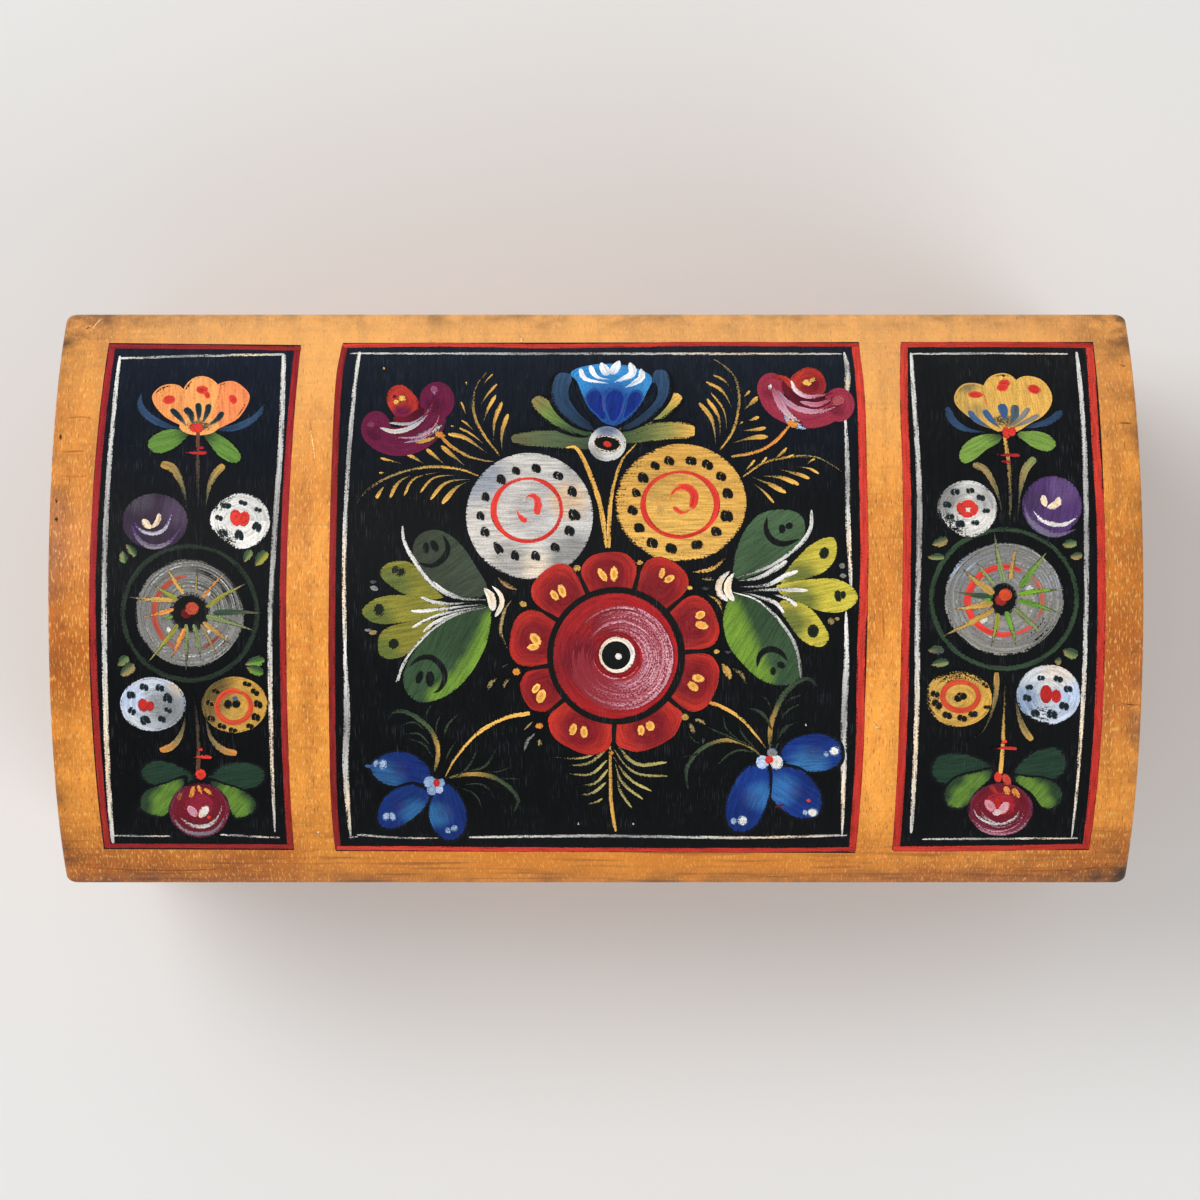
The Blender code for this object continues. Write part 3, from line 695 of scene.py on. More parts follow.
def paint_finish(name, crack):
    """Crack is how strongly the grain's hairlines show."""
    paint = Finish(name, Specular_IOR_Level=0.09)
    colour = paint.node("ShaderNodeAttribute", {"attribute_name": "paint"}, out="Color")
    under = paint.node("ShaderNodeAttribute", {"attribute_name": "under"}, out="Color")
    brush = paint.node("ShaderNodeAttribute", {"attribute_name": "brush"}, out="Vector")
    sheet = paint.node("ShaderNodeAttribute", {"attribute_name": "sheet"}, out="Vector")

    def bristles(length, width):
        return paint.noise(brush, (1 / length / MM, 1 / width / MM, 1.0), detail=2.0).smooth(0.34, 0.66)

    def threads(width, length, low, high):
        return paint.noise(sheet, (1 / width / MM, 1 / length / MM, 1.0), detail=2.0).smooth(low, high)

    hair = bristles(5, 0.34)
    pull = bristles(9, 0.9)
    speck = paint.noise(sheet, 1900.0, detail=2.0).smooth(0.34, 0.66)
    patchy = paint.noise(sheet, 800.0, detail=3.0)
    mask = colour.twin("Alpha") * 1.3 + hair * 0.3 + patchy * 0.25 + speck * 0.35 - 0.62
    mask = (mask - (1 - under.twin("Alpha")) * 0.55).smooth(0.34, 0.66)
    tint = paint.scale(colour, 0.60 + hair * 0.30 + pull * 0.28 + speck * 0.22)
    tint = paint.mix(mask, paint.scale(under, 0.8 + speck * 0.4), tint)
    line = threads(0.3, 5, 0.54, 0.74) + threads(0.5, 9, 0.66, 0.80) * 0.7
    broken = threads(9, 16, 0.40, 0.66)
    dust = paint.noise(sheet, 1300.0, detail=1.0).smooth(0.74, 0.82)
    crackle = (line * broken + dust).clamp()
    tint = paint.mix(crackle * crack, tint, DUST)
    height = under.twin("Alpha") * 0.5 + hair * 0.15 + pull * 0.12 - crackle * 0.4
    paint.wear(
        Base_Color=tint,
        Roughness=0.36 + hair * 0.08 + patchy * 0.2,
        Normal=paint.bump(height, 0.035 * MM, 0.9),
    )
    return paint


oil_paint = paint_finish("oil_paint", 0.3)
black_ground = paint_finish("black_ground", 0.24)
print("one paint for every colour")

# %% [markdown]
# ## The colours on the palette
# Each is read off the photograph and written as it shows there. Painters of such
# flowers keep to a few earth colours and mix the rest with white or black on the brush.

# %% Palette
WHITE = rgb(232, 229, 222)
CREAM = rgb(240, 216, 184)
PEARL = rgb(205, 204, 200)
GREY = rgb(128, 127, 124)
ASH = rgb(74, 75, 76)
YELLOW = rgb(240, 188, 92)
CORN = rgb(224, 172, 84)
OCHRE = rgb(190, 150, 76)
STRAW = rgb(150, 130, 84)
ORANGE = rgb(226, 146, 66)
SCARLET = rgb(216, 58, 48)
RED = rgb(186, 42, 38)
BRICK = rgb(158, 44, 38)
OXBLOOD = rgb(100, 24, 26)
WINE = rgb(112, 26, 40)
PLUM = rgb(104, 28, 62)
PINK = rgb(208, 150, 168)
LILAC = rgb(150, 132, 160)
PURPLE = rgb(80, 54, 104)
MOSS = rgb(54, 78, 54)
FOREST = rgb(56, 62, 50)
LEAF = rgb(104, 148, 56)
LIME = rgb(150, 148, 56)
SAGE = rgb(128, 142, 88)
ICE = rgb(186, 202, 228)
SKY = rgb(58, 146, 214)
BLUE = rgb(38, 84, 150)
NAVY = rgb(22, 46, 132)
SLATE = rgb(58, 92, 136)
TEAL = rgb(22, 46, 56)
JET = rgb(17, 19, 19)

ROUND = (0.5, 0.5)
COMMA = (0.35, 1.1)
LINER = (0.2, 0.2)
PETAL = (0.7, 0.45)
print("31 colours")

# %% [markdown]
# ## Three panels with their borders
# Each panel is a black ground, a red border pulled along its edge and a white line inside that. The
# white was pulled freehand with a long liner brush, so it swells and runs out, and here and there it
# starts again. Their places are points of the photograph, read off it with a ruler, which is why
# they are in pixels: the lens makes the middle of the lid look a little larger, and going through
# the lens again is what makes the panels' sides straight on the board.

# %% Grounds, borders and liner lines
PANEL_EDGES = {
    "left": ([(109, 343), (89, 610), (104, 849)], [(301, 345), (286, 610), (294, 850)]),
    "centre": ([(343, 343), (330, 600), (336, 851)], [(859, 342), (868, 570), (855, 853)]),
    "right": ([(901, 342), (904, 560), (892, 850)], [(1093, 342), (1105, 580), (1089, 850)]),
}
RED_BORDERS = {
    "left": [
        [(113, 344), (93, 560), (93, 640), (108, 848)],
        [(297.5, 346), (283.5, 560), (283, 640), (290.5, 849)],
        [(109, 346.5), (200, 347), (301, 349)],
        [(105, 845.5), (200, 846), (294, 846.5)],
    ],
    "centre": [
        [(345, 345), (339, 380), (335, 460), (332.5, 560), (332.5, 740), (334, 800), (338, 850)],
        [(855, 344), (861, 400), (863, 480), (864.5, 560), (861, 660), (860, 740), (852, 852)],
        [(343, 346), (440, 344.8), (540, 346.3), (640, 345), (700, 344), (859, 345)],
        [(337, 848), (420, 848.3), (520, 849.3), (600, 849.6), (760, 850), (856, 849)],
    ],
    "right": [
        [(904, 344), (904, 400), (907, 500), (906.5, 580), (904, 700), (896, 849)],
        [(1089, 344), (1095.5, 440), (1100.5, 520), (1101.5, 600), (1097, 740), (1085.5, 849)],
        [(901, 345), (1000, 344.5), (1092, 345.5)],
        [(893, 849), (1000, 848), (1088, 846)],
    ],
}
WHITE_LINES = {
    "left": [
        ([(119.5, 358.5), (200, 356), (284.5, 354.5)], 4, (0.1, 0.1)),
        ([(120, 356), (113, 420), (106, 518), (104, 600), (105, 680), (113, 843)], 6, (0.2, 0.15)),
        ([(284, 355), (281, 440), (273, 560), (270, 620), (271, 720), (275, 832)], 5.8, (0.1, 0.3)),
        ([(112, 835.5), (170, 836)], 2.6, LINER),
        ([(220, 834.5), (280, 837.5)], 3.2, LINER),
    ],
    "centre": [
        ([(350, 353.5), (500, 353.8), (700, 353.8), (842, 354)], 4.0, LINER),
        ([(359.5, 352), (355, 385), (347.5, 475), (344.2, 560), (345, 650)], 4.8, (0.1, 0.1)),
        ([(344.5, 640), (347, 715), (345.6, 765), (349, 820), (351, 839)], 7.2, (0.5, 0.55)),
        ([(844, 352), (847.5, 370), (847, 393)], 6.5, (0.5, 0.25)),
        ([(845, 413), (847.5, 470), (848, 520), (851, 588)], 5.6, (0.4, 0.3)),
        ([(846, 611), (846.5, 660), (844, 715), (843.5, 775), (842, 837)], 7.0, (0.45, 0.6)),
        ([(349, 837), (358, 836.5)], 2.2, LINER),
        ([(357, 834.5), (400, 837.5), (444, 838)], 3.2, (0.2, 0.6)),
        ([(469, 837), (600, 835.7), (740, 837.5), (847, 835)], 4.4, LINER),
    ],
    "right": [
        ([(911, 354), (990, 353.5), (1068, 354)], 3.6, LINER),
        ([(911, 353), (914, 400), (919.5, 500), (917.5, 610), (917, 700), (911, 833)], 6.0, LINER),
        ([(1076.5, 352), (1083, 420), (1086.5, 560), (1084, 680), (1071.5, 838)], 5.6, (0.2, 0.4)),
        ([(922, 839), (1000, 838.5), (1078, 838)], 3.2, LINER),
    ],
}
RED_WIDTH = 6.6
BRIGHT_RED = [rgb(214, 66, 52), rgb(180, 46, 38)]
SHADED_RED = [rgb(158, 38, 46), BRICK]  # on the left panel
DULL_RED = [rgb(150, 40, 40), rgb(132, 34, 34)]  # along the middle panel's left edge
# The grounds are bluish at the top, a painted reflection of the sky, and black lower down.
GROUND_SKY_REFLECTIONS = {"left": rgb(23, 31, 46), "centre": rgb(23, 30, 42), "right": rgb(21, 23, 25)}


def paint_panel(side):
    """The ground, in its own piece, and the border and lines, which start the flowers' piece."""
    ground = Painting(on_lid, PIXEL, len(side))
    left, right = PANEL_EDGES[side]
    # A painted reflection of the sky: bluish at the top, fading to black.
    colour = [GROUND_SKY_REFLECTIONS[side], rgb(9, 12, 15), rgb(7, 10, 13), rgb(4, 7, 10)]
    ground.ground(left, right, colour, 110, 60 if side == "centre" else 24)
    ground.hang(side + "_panel_ground", black_ground, "lid", bend)
    art = Painting(on_lid, PIXEL, 40 + len(side))
    art.begin()
    for points in RED_BORDERS[side]:
        colour = SHADED_RED if side == "left" else BRIGHT_RED
        if points is RED_BORDERS["centre"][0]:
            colour = DULL_RED
        width = RED_WIDTH * (1.25 if points[0][0] > 800 else 1)
        cover = [1, 0.9, 1, 0.86, 1, 0.9]
        art.stroke(points, width, colour, (0.03, 0.03), cover=cover, under=OXBLOOD)
    for points, width, taper in WHITE_LINES[side]:
        colour = [WHITE, PEARL, rgb(150, 148, 146), PEARL, CREAM, PEARL]
        cover = [1, 0.84, 0.94, 0.8, 0.9, 0.82, 1]
        art.stroke(points, width * 0.92, colour, taper, cover=cover, under=rgb(60, 58, 58))
    return art


left_art = paint_panel("left")
centre_art = paint_panel("centre")
right_art = paint_panel("right")

# %% [markdown]
# ## The two side panels
# Both side panels carry the same plant, read from the top down: a yellow tulip, two round blossoms
# on thin stems, a wheel with spokes, two more blossoms, and a wine-red rose that hangs between
# leaves. The left and right ones differ in every stroke, as freehand work does. So one function
# paints the plant, and each panel has its own list of where the brush went, by the strokes' names.
# A stroke is written as its points, and a small blossom's dash as x, y, width, height and tilt.

# %% Where the strokes of the left plant are
LEFT_PLANT = {
    "lobes": [
        [(153, 398), (160, 388), (170, 385), (180, 387), (188, 400), (196, 428), (180, 424), (163, 414)],
        [(212, 390), (221, 384), (233, 382), (244, 389), (249, 397), (243, 411), (233, 421), (204, 428)],
        [(184, 392), (192, 380), (203, 377), (213, 381), (219, 390), (213, 410), (201, 428), (189, 410)],
    ],
    "lobe_colour": rgb(250, 172, 100),
    "lobe_tints": [rgb(248, 160, 92), rgb(252, 146, 90), rgb(252, 166, 96)],
    "lobe_line": rgb(126, 108, 62),
    "lobe_rims": [
        (160, 386, 13, None, 0.4), (186, 384, 10, None, 0.5), (222, 382, 8, None, 0.5),
        (246, 412, 12, None, 0.4),
    ],
    "lobe_marks": [
        (169, 400, 13, 9, 10), (202, 390, 13, 9, 0), (207, 395, 6, 9, 20), (233, 399.5, 8, 11, 20)
    ],
    "seam": [(221, 386), (217, 402), (211, 421)],
    "stamens": [
        ([(171, 409), (180, 418), (187, 427)], 5, TEAL),
        ([(185, 408), (191, 415), (193, 427)], 6, TEAL),
        ([(198, 403), (199, 414), (198, 424)], 5, TEAL),
        ([(209, 404), (207, 414), (202, 424)], 5, TEAL),
        ([(223, 412), (217, 420), (206, 427)], 5, TEAL),
    ],
    "sepal_taper": (0.8, 0.9),
    "sepals": [
        [(142, 393), (140, 404), (147, 415), (161, 424), (184, 430)],
        [(265, 404), (258, 415), (245, 424), (228, 429), (208, 429)],
    ],
    "heart": [(194, 428, 9, 9, 20), (198, 428.5, 10, 10, -20)],
    "leaves": [
        ([(193, 429), (178, 427), (160, 431), (147, 440), (146, 448), (156, 455), (172, 451), (184, 442)],
           20),
        ([(201, 429), (214, 431), (230, 441), (241, 453), (243, 461), (235, 465), (220, 458), (208, 444)],
           -35),
    ],
    "leaf_colour": rgb(100, 140, 62),
    "stem": [(198, 430), (198, 468), (199, 505)],
    "stem_colour": [rgb(104, 66, 52), rgb(70, 58, 48), rgb(40, 40, 38)],
    "crosses": [(184, 453, 207, 453, 4.2), (194, 448.5, 204, 448, 3)],
    "commas": [
        ([(161, 464), (172, 468), (180, 480), (185, 496), (187, 516)], 9, OCHRE),
        ([(224, 465), (215, 474), (209, 488), (205, 512)], 8, OCHRE),
    ],
    "plum": (155, 521.5, 66, 56),
    "plum_colour": rgb(54, 42, 58),
    "plum_tint": [(180, 510, 24, rgb(92, 76, 100), 0.6), (140, 500, 18, rgb(86, 82, 92), 0.5)],
    "plum_rims": [
        ([(134, 522), (140, 530), (152, 534), (165, 529), (174, 508)], 4.5, rgb(178, 174, 182)),
        ([(132, 525), (138, 539), (152, 547), (168, 543), (182, 527)], 5, rgb(128, 120, 134)),
    ],
    "plum_petals": [
        ([(143, 519), (147, 525), (152, 528)], 7.5), ([(159.5, 513), (158, 521), (152, 528)], 5.5)
    ],
    "pale": (240, 521, 60, 56),
    "pale_tint": [(218, 545, 24, None, 0.6), (222, 500, 18, None, 0.4)],
    "pale_heart": [(236, 518, 12, 17, 10), (244, 519, 11, 16, -12)],
    "pale_dots": [
        (226, 506, 11, 7, 10), (243, 503, 9, 6, 0), (258, 510, 8, 6, 0), (219, 518, 8, 7, 0),
        (223, 533, 9, 11, 30), (239, 535, 9, 14, 0), (257, 527, 9, 12, -20),
    ],
    "sprigs": [
        (131, 550, 14, 8, -50, SAGE), (123.5, 557, 11, 8, -80, SAGE), (247.5, 556, 12, 8, 60, SAGE),
        (261, 558.5, 16, 11, 50, LIME), (123, 661, 12, 9, 40, SAGE), (127.5, 670, 15, 11, 40, STRAW),
        (255, 661.5, 17, 10, 15, LEAF), (255, 670, 16, 10, -20, LEAF),
    ],
    "wheel": (190, 613),
    "wheel_ring": (134, 134, rgb(38, 50, 40)),
    "wheel_disc": (109, 109),
    "wheel_colour": [rgb(132, 130, 124), rgb(112, 110, 104), rgb(126, 124, 118), rgb(132, 130, 124)],
    "wheel_tint": [
        (228, 576, 50, rgb(62, 62, 58), 0.9), (226, 580, 40, None, 0.3), (222, 648, 30, None, 0.2)
    ],
    "hub": (190, 613, 50, 50),
    "hub_light": [
        (206, 594, 10, 8, 30), (178, 596, 9, 7, -30), (208, 631, 12, 7, 40), (170, 630, 8, 6, -40)
    ],
    "red_arc": (190, 613, 72, 74, 95, 190, 6, rgb(176, 76, 56)),
    "faint_arc": (190, 613, 72, 74, 285, 60, 3, BRICK),
    "spokes": [
        ((184, 594), (166, 567), 5, OCHRE), ((196, 594), (198, 566), 3, STRAW),
        ((202, 598), (226, 572), 4, ORANGE), ((206, 607), (247, 583), 5, LIME),
        ((213, 613), (262, 613), 6, MOSS), ((206, 616), (255, 631), 6, SAGE),
        ((203, 622), (232, 645), 5, OCHRE), ((201, 624), (218, 658), 4, STRAW),
        ((194, 624), (201, 660), 5, SAGE), ((186, 624), (186, 671), 5, SAGE),
        ((185, 628), (171, 658), 6, ORANGE), ((178, 624), (148, 662), 5, LIME),
        ((173, 616), (162, 620), 4, LEAF), ((174, 609), (143, 617), 4.5, ORANGE),
        ((177, 600), (128, 597), 6, OCHRE), ((177, 599), (152, 584), 6, LIME),
    ],
    "bead": [(186, 613, 11, 11, 0, OXBLOOD), (192, 608.5, 14, 13, 0, rgb(176, 72, 50))],
    "ice": (153, 704, 66, 54),
    "ice_tint": [
        (130, 700, 24, ICE, 0.8), (179, 686, 14, CREAM, 0.8), (168, 708, 30, rgb(128, 128, 126), 0.9)
    ],
    "ice_heart": [(143, 705, 10, 14, 10), (150, 706, 8, 11, -10)],
    "ice_dots": [
        (144, 687, 9, 9, 0), (160, 688, 9, 9, 0), (131, 695, 9, 10, 20), (132, 711, 8, 9, -20),
        (167.5, 698, 9, 13, 0), (168, 710, 8, 7, 0), (145, 720, 10, 13, 30), (162, 719, 8, 8, 0),
    ],
    "corn": (234.5, 704.5, 66, 56),
    "corn_tint": [
        (210, 686, 30, rgb(84, 72, 44), 0.9), (204, 712, 24, rgb(96, 82, 48), 0.8),
        (236, 732, 14, OCHRE, 0.6),
    ],
    "corn_ring": (234, 706.5, 34, 32, 60, 364, 5.6),
    "corn_heart": [(228, 704, 9, 10, 0, JET), (236, 703.5, 9, 9, 0, JET), (235, 698, 6, 5, 0, SLATE)],
    "corn_dots": [
        (247, 684, 9, 6, 0), (255, 692, 9, 7, -20), (258, 704, 9, 10, 0), (256, 717, 9, 10, 0),
        (250, 726, 8, 7, 0), (233, 730, 9, 6, 0), (222, 726, 9, 7, 0), (211, 718, 8, 8, 0),
        (210, 703, 8, 7, 0), (216, 691, 8, 6, 0),
    ],
    "tails": [
        ([(160, 750), (172, 746), (181, 734), (185, 718), (186, 704)], 6.5, ORANGE),
        ([(237, 753), (224, 750), (212, 739), (207, 722), (205, 706)], 6.5, ORANGE),
    ],
    "low_stem": [(193, 690), (197, 720), (198.5, 745), (198, 770)],
    "low_colour": [rgb(58, 50, 44), rgb(74, 62, 50), rgb(96, 64, 44)],
    "low_crosses": [(190, 757, 212, 757, 4), (196, 750, 203, 749, 3)],
    "bud": [(200.5, 774, 11, 11, 0, SCARLET)],
    "dark_leaves": [
        [(198.9, 775.1), (173.6, 762), (151.6, 759), (138.9, 767.9), (140, 779.8), (156.5, 786.9),
          (179.1, 785.8), (198.9, 781)],
        [(202.8, 776.1), (223.7, 763), (246.8, 760.7), (264.4, 766.6), (268.2, 777.3), (260, 787.4),
          (236.9, 790.4), (203.9, 782)],
    ],
    "low_leaves": [
        ([(188, 777), (167, 781), (145, 789), (138, 800), (140, 811), (152, 817), (167, 817), (172, 803)],
         [(164, 800, 17), (171, 786, 13), (160, 811, 12)]),
        ([(207, 779), (226, 783), (246, 790), (258, 801), (257, 812), (246, 818), (235, 820), (226, 803)],
         [(229, 792, 15), (238, 805, 16), (242, 813, 11)]),
    ],
    "rose": (199.5, 810, 61, 55),
    "rose_rims": [
        ([(171, 810), (182, 828), (200, 834), (218, 828), (229, 810)], 7, rgb(156, 132, 146)),
        ([(176, 811), (188, 824), (204, 827), (218, 817), (223, 801)], 5, PEARL),
    ],
    "rose_heart": (199, 804, 38, 32),
    "rose_rings": [
        ([(177.5, 813), (186, 822), (200, 826), (214, 821), (222.5, 808)], 4, PEARL),
        ([(171, 813), (182, 828), (200, 834), (217, 828), (228, 812)], 4.5, rgb(134, 128, 140)),
    ],
    "rose_colour": rgb(136, 34, 52),
    "rose_sparks": [
        ([(194, 786), (190, 798)], 6, ORANGE), ([(181, 792), (178, 801)], 5, rgb(160, 92, 54)),
        ([(198, 785), (202, 794)], 5, ORANGE), ([(204, 788), (213, 795)], 5, ORANGE),
    ],
    "rose_petals": [
        (192.5, 811, 8, 14, 42, PINK), (204, 811, 9, 14, -40, WHITE), (201, 815, 5, 6, 0, CREAM),
        (209, 817, 4, 4, 0, SCARLET),
    ],
}
print("left plant:", sum(len(part) for part in LEFT_PLANT.values() if isinstance(part, list)), "places")

